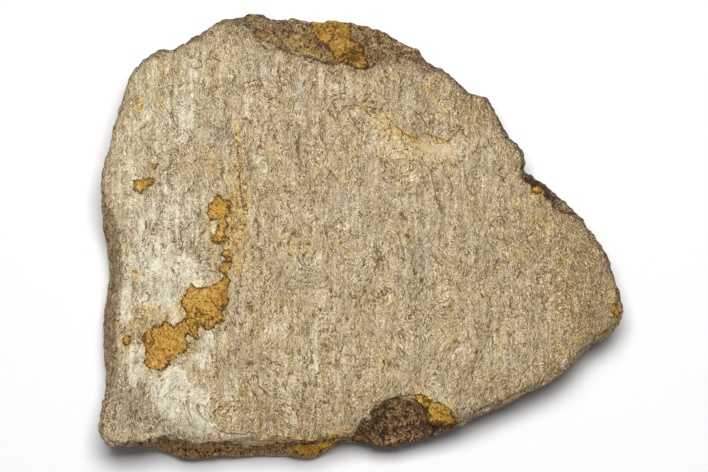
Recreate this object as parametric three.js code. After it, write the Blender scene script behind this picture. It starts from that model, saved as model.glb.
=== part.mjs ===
// A broken section of a horned dinosaur's bony frill: one flat slab of fossil bone, lying on its inner face.
// Millimetres, +Z up. The origin is under the middle of the slab, on the surface it rests on.
// +X runs towards the blunt tip and +Y towards the spalled back edge, along the bone's grain.

import * as THREE from "three";
import { ImprovedNoise } from "three/addons/math/ImprovedNoise.js";
import { mergeVertices } from "three/addons/utils/BufferGeometryUtils.js";

// Overall form.
const THICKNESS = 25; // at the middle
const TIP_THINNING = 0.018; // thickness lost per millimetre towards the tip, and gained the other way
const BACK_THINNING = 0.01; // the same towards the back edge
const FOOT_SMOOTHING = 0.02; // the foot follows the outline averaged over this share of it on either side
const LATTICE = { across: 44, along: 36, up: 10 }; // cells of the box that is shaped into the slab
const SWEEPS = 60; // how often the lattice is evened out inside the rim

// Relief: height in millimetres and length of one swell.
const SWELL = { height: 0.9, length: 55 }; // slow unevenness of the upper face
const FURROWS = { height: 0.7, width: 14, length: 60 }; // shallow troughs that run with the grain
const WALL_ROUGHNESS = { height: 1.3, length: 12 };
const SPALL_ROUGHNESS = { height: 3, length: 10 }; // where spongy bone is laid bare
const RIM_WAVER = { share: 0.22, length: 11 }; // how unevenly the upper face ends where it is broken
const HOLLOWS = { height: 3, length: 42, threshold: 0.12 }; // arches in the inner face
const REST_RADIUS = 16; // the inner face is flat this far round the origin
const HEM = { start: 0.86, lift: 1.2 }; // the inner face turns up near the edge, from this share of the way out

// How the edge is broken. The upper face ends `shoulder` inside the widest outline, which lies `drop` below
// that face. The resting face ends `foot` inside it. `scoop` is 0 for an edge rounded by wear, 1 for a hollow break.
// `groove` is how far the spongy core is worn back between the two hard faces.
const worn = { shoulder: 3.5, drop: 6.5, foot: 3, scoop: 0, groove: 1 };
const chipped = { shoulder: 6, drop: 9.5, foot: 2, scoop: 0.45, groove: 0.5 };
const flaked = { shoulder: 9.5, drop: 9, foot: 2, scoop: 0.5, groove: 0 };
const spalled = { shoulder: 15, drop: 11, foot: 2, scoop: 0.6, groove: 0 };
const raked = { shoulder: 6, drop: 20, foot: 1, scoop: 0.4, groove: 0 }; // leans out to its foot
const overhung = { shoulder: 3.5, drop: 6, foot: 4.5, scoop: 0, groove: 1 };
const ledged = { shoulder: 4.5, drop: 19, foot: 1, scoop: 0.7, groove: 0 }; // the lower layer stands out in front
const pocket = { shoulder: 15, drop: 10, foot: 3, scoop: 0.75, groove: 0 };

// The widest outline, anticlockwise from the tip: x, y and the kind of edge there.
const OUTLINE = [
  [90.8, -28.4, worn],
  [90.2, -22, worn],
  [87.3, -14.5, worn],
  [84, -5.5, worn],
  [76.5, 4.6, worn],
  [70.4, 11.6, chipped],
  [64.4, 17, chipped],
  [60, 19.8, chipped],
  [56.9, 20.6, worn],
  [57.3, 24, worn],
  [55.5, 29.5, worn],
  [51.8, 33.8, worn],
  [47, 41.5, worn],
  [43.6, 46.8, worn],
  [40.3, 48.1, worn],
  [37.6, 48.2, worn],
  [33, 53.6, worn],
  [29.5, 57, worn],
  [23.2, 60.2, chipped],
  [20.5, 64.3, flaked],
  [15.5, 66.4, flaked],
  [8.5, 71.5, spalled],
  [0, 74.3, spalled],
  [-18, 75.5, spalled],
  [-26, 75.9, flaked],
  [-29.5, 74.4, flaked],
  [-34, 76.3, flaked],
  [-38.5, 77.2, flaked],
  [-43.5, 76, chipped],
  [-51, 73.8, worn],
  [-57.5, 69, worn],
  [-65, 64.6, worn],
  [-71.5, 64.3, worn],
  [-76, 60.4, worn],
  [-80.4, 55.6, worn],
  [-83.5, 47.2, worn],
  [-88.2, 27.8, worn],
  [-90.6, 18, worn],
  [-90.7, 10, worn],
  [-90.3, 0, raked],
  [-88.8, -9, raked],
  [-88.7, -18, raked],
  [-90, -29, raked],
  [-90, -38, raked],
  [-89, -52, raked],
  [-89.5, -64, overhung],
  [-90, -71.5, overhung],
  [-87.5, -75, overhung],
  [-74, -75.2, overhung],
  [-69, -75.2, ledged],
  [-63, -78.2, ledged],
  [-44, -77.3, ledged],
  [-25, -77.6, ledged],
  [-19.5, -78.8, ledged],
  [-13, -76.4, ledged],
  [-7, -73, worn],
  [-1, -73.2, chipped],
  [3, -74.2, flaked],
  [7, -75, pocket],
  [14, -73.8, pocket],
  [21, -72.4, pocket],
  [27, -70.8, flaked],
  [31, -69.4, chipped],
  [37, -66.7, worn],
  [56, -57.9, worn],
  [68, -51.4, worn],
  [74, -47.2, worn],
  [76.8, -43, worn],
  [80.5, -39.5, worn],
  [86.5, -36, worn],
  [89.5, -33, worn],
];

// The stations at which the lattice's corners lie: tip, back right, back left, front left and the tip again.
const CORNERS = [0, 13, 34, 47, OUTLINE.length];

// Troughs in the upper face: the points of their beds, how deep, and how far each side reaches.
const TROUGHS = [
  { bed: [[-8, 42], [4, 39], [14, 32], [33, 28]], depth: 1.3, reach: 9 }, // where a thin layer has flaked off
  { bed: [[20, 24], [25, 18], [28, 4]], depth: 0.7, reach: 8 },
  { bed: [[45, -33], [39, -49], [35, -58]], depth: 1, reach: 8 },
  { bed: [[-66, 64], [-67, 50], [-65, 33]], depth: 0.9, reach: 7 },
];
// The upper face stands higher left of this line, which carries the iron crust.
const STEP = { x: -43, low: -38, high: 40, height: 0.8, width: 8, fade: 20 };

const { lerp, smoothstep } = THREE.MathUtils;
const perlin = new ImprovedNoise();

// Noise from about -1 to 1. `seed` picks another field.
function noise(x, y, z, seed) {
  return perlin.noise(x + 17.3 * seed, y - 9.1 * seed, z + 5.7 * seed);
}

const outline = new THREE.CatmullRomCurve3(
  OUTLINE.map(([x, y]) => new THREE.Vector3(x, y, 0)),
  true,
  "centripetal",
);
outline.arcLengthDivisions = 4000;

// The outline with its notches averaged away.
function smoothPoint(share) {
  const sum = new THREE.Vector3();
  for (const step of [0, 1 / 3, 2 / 3, 1, 4 / 3, 5 / 3, 2]) {
    sum.add(outline.getPointAt((share + 1 + (step - 1) * FOOT_SMOOTHING) % 1));
  }
  return sum.divideScalar(7);
}

// Where the widest outline lies and how the edge is broken, at a share of the way round.
function edgeAt(share) {
  const place = outline.getUtoTmapping(share % 1) * OUTLINE.length;
  const point = outline.getPoint(place / OUTLINE.length);
  const from = Math.floor(place) % OUTLINE.length;
  const before = OUTLINE[from][2];
  const after = OUTLINE[(from + 1) % OUTLINE.length][2];
  const mix = (key) => lerp(before[key], after[key], place - Math.floor(place));
  const waver = noise(point.x / RIM_WAVER.length, point.y / RIM_WAVER.length, 0, 6);
  const shoulder = mix("shoulder") * (1 + RIM_WAVER.share * mix("scoop") * waver);
  const rim = inwards(point, shoulder);
  const foot = inwards(smoothPoint(share), mix("foot"));
  return { point, rim, foot, shoulder, drop: mix("drop"), scoop: mix("scoop"), groove: mix("groove") };
}

// How far round the outline a station lies.
function shareOf(station) {
  const lengths = outline.getLengths();
  return lengths[Math.round((station / OUTLINE.length) * (lengths.length - 1))] / lengths.at(-1);
}

// How far round the outline the lattice's corners lie, from the tip back to the tip.
const CORNER_SHARES = CORNERS.map(shareOf);

// A point moved towards the middle of the slab by `inset`.
function inwards(point, inset) {
  return point.clone().multiplyScalar(1 - inset / point.length());
}

// Share of the outline for a place from -1 to 1 along one side of the lattice.
const right = (b) => lerp(CORNER_SHARES[0], CORNER_SHARES[1], (1 + b) / 2);
const back = (a) => lerp(CORNER_SHARES[1], CORNER_SHARES[2], (1 - a) / 2);
const left = (b) => lerp(CORNER_SHARES[2], CORNER_SHARES[3], (1 - b) / 2);
const front = (a) => lerp(CORNER_SHARES[3], CORNER_SHARES[4], (1 + a) / 2);

// Where a point of the upper or resting face lies, spread between the four sides of its border.
function facePoint(a, b, border) {
  const rim = (share) => edgeAt(share)[border];
  const u = (1 + a) / 2;
  const v = (1 + b) / 2;
  return new THREE.Vector3()
    .addScaledVector(rim(front(a)), 1 - v)
    .addScaledVector(rim(back(a)), v)
    .addScaledVector(rim(left(b)), 1 - u)
    .addScaledVector(rim(right(b)), u)
    .addScaledVector(rim(CORNER_SHARES[0]), -u * (1 - v))
    .addScaledVector(rim(CORNER_SHARES[1]), -u * v)
    .addScaledVector(rim(CORNER_SHARES[2]), -(1 - u) * v)
    .addScaledVector(rim(CORNER_SHARES[3]), -(1 - u) * (1 - v));
}

function distanceToBed(x, y, bed) {
  let least = Infinity;
  for (let i = 1; i < bed.length; i++) {
    const [ax, ay] = bed[i - 1];
    const [bx, by] = bed[i];
    const along = ((x - ax) * (bx - ax) + (y - ay) * (by - ay)) / ((bx - ax) ** 2 + (by - ay) ** 2);
    const k = THREE.MathUtils.clamp(along, 0, 1);
    least = Math.min(least, Math.hypot(x - lerp(ax, bx, k), y - lerp(ay, by, k)));
  }
  return least;
}

function upperFace(x, y) {
  let height = THICKNESS - TIP_THINNING * x - BACK_THINNING * y;
  height += SWELL.height * noise(x / SWELL.length, y / SWELL.length, 0, 1);
  height += FURROWS.height * noise(x / FURROWS.width, y / FURROWS.length, 0, 2);
  for (const { bed, depth, reach } of TROUGHS) {
    height -= depth * (1 - smoothstep(distanceToBed(x, y, bed), 0, reach));
  }
  const above = smoothstep(y, STEP.low - STEP.fade, STEP.low);
  const below = 1 - smoothstep(y, STEP.high, STEP.high + STEP.fade);
  const beside = 1 - smoothstep(x, STEP.x - STEP.width / 2, STEP.x + STEP.width / 2);
  height += STEP.height * above * below * beside;
  return height;
}

// The resting face: flat at the middle and at every low place of its unevenness, arched between them.
function innerFace(x, y, ring) {
  const uneven = noise(x / HOLLOWS.length, y / HOLLOWS.length, 0, 3) - HOLLOWS.threshold;
  const clear = smoothstep(Math.hypot(x, y), REST_RADIUS, 2 * REST_RADIUS);
  const hem = HEM.lift * smoothstep(ring, HEM.start, 1) ** 2;
  return Math.max(0, HOLLOWS.height * uneven * clear) + hem;
}

// 1 in the middle of the spongy core, 0 at the hard faces above and below it.
function coreShare(z, top, base) {
  const height = (z - base) / (top - base);
  return smoothstep(height, 0.15, 0.4) * (1 - smoothstep(height, 0.55, 0.8));
}

// One vertex of the side wall. `level` is 1 at the upper face, 0 at the widest outline and -1 at the foot.
function wallPoint(edge, level) {
  const top = upperFace(edge.rim.x, edge.rim.y);
  const base = innerFace(edge.foot.x, edge.foot.y, 1);
  const widest = Math.max(top - edge.drop, base + 2);
  const turn = (Math.abs(level) * Math.PI) / 2;
  let p;
  let z;
  if (level >= 0) {
    const down = Math.PI / 2 - turn;
    const outwards = lerp(Math.sin(down), 1 - Math.cos(down), edge.scoop);
    const fallen = lerp(1 - Math.cos(down), Math.sin(down), edge.scoop);
    p = inwards(edge.point, edge.shoulder * (1 - outwards));
    z = lerp(top, widest, fallen);
  } else {
    p = edge.point.clone().lerp(edge.foot, 1 - Math.cos(turn));
    z = lerp(widest, base, Math.sin(turn));
  }
  const open = Math.cos((level * Math.PI) / 2); // 0 on the rim and at the foot
  const { length } = WALL_ROUGHNESS;
  const rough = WALL_ROUGHNESS.height * noise(p.x / length, p.y / length, (2 * z) / length, 4);
  const moved = inwards(p, open * rough + edge.groove * coreShare(z, top, base));
  const broken = smoothstep(edge.scoop, 0.3, 0.6) * (level > 0 ? open : 0);
  const lump = noise(p.x / SPALL_ROUGHNESS.length, p.y / SPALL_ROUGHNESS.length, 0, 5);
  moved.z = z + broken * SPALL_ROUGHNESS.height * lump;
  return moved;
}

// The lattice points of the upper or resting face, evened out inside the border.
function faceGrid(border) {
  const { across, along } = LATTICE;
  const grid = [];
  for (let i = 0; i <= across; i++) {
    grid.push([]);
    for (let j = 0; j <= along; j++) grid[i].push(facePoint((2 * i) / across - 1, (2 * j) / along - 1, border));
  }
  for (let sweep = 0; sweep < SWEEPS; sweep++) {
    for (let i = 1; i < across; i++) {
      for (let j = 1; j < along; j++) {
        const around = [grid[i - 1][j], grid[i + 1][j], grid[i][j - 1], grid[i][j + 1]];
        grid[i][j].set(0, 0, 0);
        for (const point of around) grid[i][j].addScaledVector(point, 0.25);
      }
    }
  }
  return grid;
}

// The share of the outline above which a point on the lattice's side stands.
function shareAt(a, b) {
  if (a > 0.9999) return right(b);
  if (b > 0.9999) return back(a);
  return a < -0.9999 ? left(b) : front(a);
}

// A box lattice stretched to the outline.
function frillSection() {
  const box = new THREE.BoxGeometry(2, 2, 2, LATTICE.across, LATTICE.along, LATTICE.up);
  box.deleteAttribute("normal");
  box.deleteAttribute("uv");
  const shape = mergeVertices(box, 1e-4);
  const position = shape.getAttribute("position");
  const upper = faceGrid("rim");
  const inner = faceGrid("foot");
  const vertex = new THREE.Vector3();
  for (let i = 0; i < position.count; i++) {
    vertex.fromBufferAttribute(position, i);
    const { x: a, y: b, z: level } = vertex;
    if (Math.abs(level) < 0.9999) {
      vertex.copy(wallPoint(edgeAt(shareAt(a, b)), level));
    } else {
      const column = Math.round(((a + 1) / 2) * LATTICE.across);
      const row = Math.round(((b + 1) / 2) * LATTICE.along);
      const { x, y } = (level > 0 ? upper : inner)[column][row];
      const ring = Math.max(Math.abs(a), Math.abs(b));
      vertex.set(x, y, level > 0 ? upperFace(x, y) : innerFace(x, y, ring));
    }
    position.setXYZ(i, vertex.x, vertex.y, vertex.z);
  }
  shape.computeBoundingBox();
  const middle = shape.boundingBox.getCenter(new THREE.Vector3());
  shape.translate(-middle.x, -middle.y, 0);
  shape.computeVertexNormals();
  return shape;
}

const fossilBone = new THREE.MeshStandardMaterial({ color: 0xb7a384, roughness: 0.85, metalness: 0 });
const section = new THREE.Mesh(frillSection(), fossilBone);
section.name = "frill_section";

const part = new THREE.Group();
part.add(section);

export default part;
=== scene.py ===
import itertools
import math

import bmesh
import bpy
import numpy as np
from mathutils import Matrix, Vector
from mathutils.kdtree import KDTree


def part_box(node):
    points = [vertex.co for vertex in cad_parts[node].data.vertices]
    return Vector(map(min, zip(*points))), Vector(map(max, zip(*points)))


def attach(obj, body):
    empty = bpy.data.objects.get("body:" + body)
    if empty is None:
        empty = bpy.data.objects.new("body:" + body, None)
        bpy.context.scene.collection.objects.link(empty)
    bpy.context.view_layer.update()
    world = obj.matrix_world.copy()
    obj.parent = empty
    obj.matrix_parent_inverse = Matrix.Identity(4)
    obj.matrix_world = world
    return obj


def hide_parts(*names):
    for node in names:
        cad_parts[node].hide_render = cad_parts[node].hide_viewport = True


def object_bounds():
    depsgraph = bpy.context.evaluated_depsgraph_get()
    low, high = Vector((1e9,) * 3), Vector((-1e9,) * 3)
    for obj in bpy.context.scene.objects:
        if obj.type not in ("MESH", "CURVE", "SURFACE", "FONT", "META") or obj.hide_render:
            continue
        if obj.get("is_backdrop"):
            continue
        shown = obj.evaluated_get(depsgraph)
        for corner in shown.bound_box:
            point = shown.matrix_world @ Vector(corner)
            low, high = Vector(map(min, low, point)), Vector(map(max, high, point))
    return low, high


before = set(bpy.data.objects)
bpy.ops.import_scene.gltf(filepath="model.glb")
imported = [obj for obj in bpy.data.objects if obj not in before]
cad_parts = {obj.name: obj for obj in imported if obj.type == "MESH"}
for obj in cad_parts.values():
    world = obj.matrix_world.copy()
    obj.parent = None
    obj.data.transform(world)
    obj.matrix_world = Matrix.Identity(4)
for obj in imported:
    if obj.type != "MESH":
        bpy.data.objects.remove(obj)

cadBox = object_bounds()
mm = 0.001  # the lists below are in millimetres, Blender works in metres
far = 99.0  # no outline near
noLine = 9.0  # no crack or vein near

# A broken slab of a horned dinosaur's bony frill, lying on its inner face.
# +X points at the blunt tip, +Y along the grain to the spalled back edge, +Z out of the upper face.

view = {
    "aim": (-2.76, -0.48, 13.0),  # mm
    "elevation": 82.0,
    "distance": 1.1,  # metres
    "sensor": 36.0,
    "lens": 159.8,
}

studioLight = {
    "world": 0.13,
    "softBox": {"at": (0.0, 0.15, 0.98), "size": (0.46, 0.36), "power": 12.9},
    "floor": (0.74, 0.74, 0.745, 1.0),
    "floorHalf": 1.5,  # metres
}

slab = {
    "weld": 0.01,
    "spacing": 0.66,  # of the fine mesh
    "evenPasses": 9,
    "underRise": 5,  # faces below this height that look down count as the underside
    "underKept": 0.16,  # share of the faces kept there
    "facesLimit": 196000,
    "slant": 0.14,  # the marks run down the walls along a slightly slanted line
    "level": 24.0,  # height at which they lie where the lists say
    "margin": 0.02,  # kept free inside the solid's own box
}

# Where the grain leans over: x, y, radius along X, radius along Y, millimetres across for each one along.
grainLeans = [
    (40.2, -47.2, 26, 22.8, 0.42), (3.5, -54.2, 15.6, 16.8, 0.5), (-31.2, -59.4, 16.6, 14.7, -0.32),
    (-58.9, -54.2, 13.2, 17.5, 0.4), (79, -12.2, 13.2, 21, -0.2), (23.6, 10.6, 20.8, 17.5, 0.16),
    (-21.5, 28.1, 19.1, 21, -0.14), (-70, 42.1, 13.9, 21, 0.12),
]

# Height of the bone's relief, and the lengths of one swell along X, Y and Z.
relief = {
    "furrow": {"height": 0.90, "swell": (4.8, 20.0, 4.8)},
    "grain": {"height": 0.22, "swell": (1.8, 6.5, 1.8)},
    "lump": {"height": 1.10, "swell": (9.0, 14.0, 9.0)},
    "pit": {"depth": 0.8, "cell": (2.6, 4.6, 2.6), "size": 0.26, "share": 0.30},
    "crumb": {"height": 0.85, "swell": (3.6, 3.6, 3.0)},
    "strand": {"height": 0.75, "swell": (1.5, 8.0, 8.0)},
    "sheet": {"height": 0.75, "swell": (11.0, 1.6, 1.4)},
    "pore": {"depth": 0.9, "cell": (2.3, 2.3, 2.0), "size": 0.42, "share": 0.55},
    "layer": {"height": 0.45, "swell": (16.0, 16.0, 2.1)},
    "crust": 0.45,
}

# Iron crust, as outlines.
crustPatches = {
    "upperLobe": [
        (-49.6, 12.3), (-48.1, 10.8), (-45.6, 10.3), (-45.1, 8.4), (-45.6, 7.4), (-44.6, 6.4), (-44.6, 5.2),
        (-47.3, 5.1), (-47.3, 4.1), (-46.2, 2.2), (-46.6, 0.9), (-47.6, -0.1), (-46.6, -2), (-46.5, -3.5),
        (-48.5, -4.3), (-49.5, -4.8), (-51.5, -3.9), (-52, -1.9), (-50.9, -1.5), (-50, 0.4), (-49.2, 2.9),
        (-49.8, 4.1), (-50.9, 4), (-52.3, 3.4), (-53.4, 6.2), (-53, 8.9), (-51.6, 9.6), (-50.7, 11.6),
    ],
    "bead": [
        (-48.9, -8.4), (-47.6, -7), (-46.2, -7), (-44.9, -8.5), (-44.8, -11.2), (-45.9, -11.4),
        (-47.1, -9.7),
    ],
    "smallBead": [
        (-48.1, -10.9), (-45.7, -11.2), (-45.5, -13.4), (-46.7, -15.4), (-48.3, -15), (-49.3, -13.4),
    ],
    "lowerLobes": [
        (-46.9, -15.4), (-45.5, -17.8), (-46.8, -20.3), (-46.4, -22.3), (-46, -23.9), (-47, -27),
        (-48.4, -28), (-47.7, -31.4), (-48.5, -32.4), (-49.8, -31.7), (-51.8, -34.6), (-53.3, -34.6),
        (-55.8, -32.9), (-56.4, -34.1), (-56.2, -37.8), (-57.8, -37.5), (-59, -36.1), (-60.3, -35.9),
        (-60.8, -37.4), (-60.1, -40.2), (-61.1, -42.4), (-62.9, -42.9), (-64.4, -44.9), (-65.8, -45.2),
        (-67, -47.8), (-68.5, -48.4), (-72.4, -48.2), (-74.8, -46.1), (-73.7, -41.9), (-75.5, -38),
        (-74.2, -34.9), (-72, -33.8), (-69.5, -33.5), (-68, -31.7), (-66.1, -32.6), (-65, -34.1),
        (-63.1, -32.4), (-60.6, -30.8), (-60.2, -29.2), (-62, -25.7), (-62.2, -24.3), (-60.3, -21.5),
        (-59, -18.7), (-57.3, -20.1), (-55.6, -20.5), (-53.4, -19.7), (-50.7, -18.9), (-48.2, -17.6),
    ],
    "leftSpot": [
        (-79, 17.3), (-75.7, 17.4), (-72.4, 18.3), (-72.2, 16.9), (-72.9, 15.6), (-74.6, 15.7), (-76, 13.7),
        (-76.4, 12.7), (-78.8, 13.5),
    ],
    "hook": [(-73, 23.6), (-72.3, 22.9), (-70.6, 23.1), (-71.6, 22.1), (-71.9, 21.2), (-72.6, 21.7)],
    "backPatch": [
        (-17.6, 74), (-16.5, 69.4), (-14.7, 67.2), (-12, 65.4), (-10, 63), (-9.2, 59.3), (-4.5, 58.9),
        (-1.8, 57), (1.1, 57.2), (2.1, 58.3), (1.4, 61.8), (0.4, 64.7), (-1.5, 66.8), (-4.5, 67.5),
        (-3.8, 70.4), (-4.2, 74.2), (-11, 75.2),
    ],
    "pocketPatch": [
        (22.5, -62.6), (23.6, -60.1), (26, -59.8), (28.1, -60.8), (30.5, -62.6), (31.5, -64.7),
        (30.9, -67.1), (28.1, -67.8), (24.6, -67.8), (22.5, -66.4),
    ],
    "pocketRim": [
        (17.7, -57.7), (20.1, -57), (22.9, -58), (25, -59.8), (23.9, -61.5), (21.5, -61.2), (19.1, -59.4),
    ],
    "frontPatch": [
        (-24.1, -76.1), (-21.3, -73.2), (-17.7, -73.6), (-11, -73.2), (-5.5, -73.1), (-10.4, -75.7),
        (-13.8, -77.8), (-16.7, -80), (-20.2, -80), (-23.6, -77.6),
    ],
    "greySpot": [
        (-82.1, -38.2), (-81.1, -36.6), (-79.7, -36.6), (-79.6, -39), (-80.7, -40), (-81.7, -39.5),
    ],
    "chipSpot": [
        (58.9, 14.8), (59.6, 15.5), (61, 15.5), (62.4, 14.8), (62.7, 13.7), (61.7, 12.7), (60.3, 12.7),
        (59.3, 13.4),
    ],
    "tipSpot": [
        (86.3, -26.2), (87.3, -25.5), (88.4, -26.5), (89.1, -28.3), (88.7, -30), (87.3, -30.4),
        (86.6, -28.6),
    ],
}

# Where the crust is thick and dark, and painted shade where the broken bone lies deep:
# x, y, radius along X, radius along Y, strength.
darkCrust = [
    (-75.1, -37.2, 1.2, 4.4, 0.9), (-66.2, -45.7, 1.6, 1.2, 1), (-67.4, -47.2, 1.2, 1.6, 1),
    (-47.6, -25.6, 1.4, 2.4, 0.8), (-48.2, -31.7, 1.2, 1.6, 0.8), (-54.9, -32.1, 3, 2.4, 0.6),
    (-56.3, -29.6, 2, 1.6, 0.7), (-61.6, -23.3, 1.2, 3, 0.6), (-45.8, 7.8, 1.6, 3.2, 0.8),
    (-47.5, -2.5, 1.4, 1.6, 0.7), (-45.9, -10.1, 1.3, 1.6, 0.9), (22.2, -58.6, 2.6, 2.2, 0.6),
    (26.5, -66.9, 4.5, 0.9, 0.8), (-2, 62.3, 3.6, 3.4, 0.65), (-7, 60.7, 3, 2, 0.5),
    (-14.6, 65.8, 2.2, 2, 0.6), (1.2, 57.9, 1.6, 1.4, 0.9), (-78.4, 14.7, 0.9, 2.6, 0.5),
    (-11.8, -73.4, 8, 0.9, 0.7), (-12, 70, 6, 5, 0.55), (-3, 62.5, 5, 5, 0.8), (59.2, 17.8, 3.6, 2.8, 0.9),
    (61.7, 17.6, 3.5, 2.8, 0.9), (64.8, 13.4, 2.8, 2.8, 0.7), (67.2, 9.9, 2.1, 2.8, 0.5),
    (3.5, -64.3, 2.4, 4.2, 0.6), (22.5, -60.1, 2.1, 2.4, 0.7), (11.8, -69.9, 13.9, 4.2, 0.6),
    (24.3, -67.8, 5.5, 2.8, 0.8), (7.6, -60.8, 1.7, 1, 0.5), (11.8, -59.4, 1.4, 1, 0.5),
    (16, -60.5, 1.4, 1, 0.5), (-72.8, -40.2, 1.4, 2.8, 0.5), (-50.9, -30.7, 2.8, 2.1, 0.5),
    (-57.9, -33.2, 2.1, 1.8, 0.6), (-54.4, -24.4, 1.7, 1.4, 0.4), (-48.5, 8.8, 1, 2.1, 0.5),
    (63.8, 13.7, 2.1, 1.8, 0.8), (59.3, 17.6, 2.8, 1.8, 0.8), (65.8, 11.3, 2.1, 1.4, 0.6),
]

# Fine dark lines in the crust.
crustVeins = [
    [(-72.5, -40.5), (-71.3, -38.4), (-72.8, -36.4), (-72, -34.3)],
    [(-60.8, -31.5), (-59.6, -33.7), (-58.4, -36.1), (-56.6, -38.2)],
    [(-59, -30.7), (-57.4, -30.9), (-56.6, -32.3), (-56.6, -34.5)],
    [(-52, -24.1), (-50, -27), (-48, -28.6)],
    [(-56.9, -27.4), (-55.5, -29.4), (-53.3, -29.2)],
    [(-50.1, -2.9), (-49.3, -4.1), (-48.1, -3.7)],
]

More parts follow.
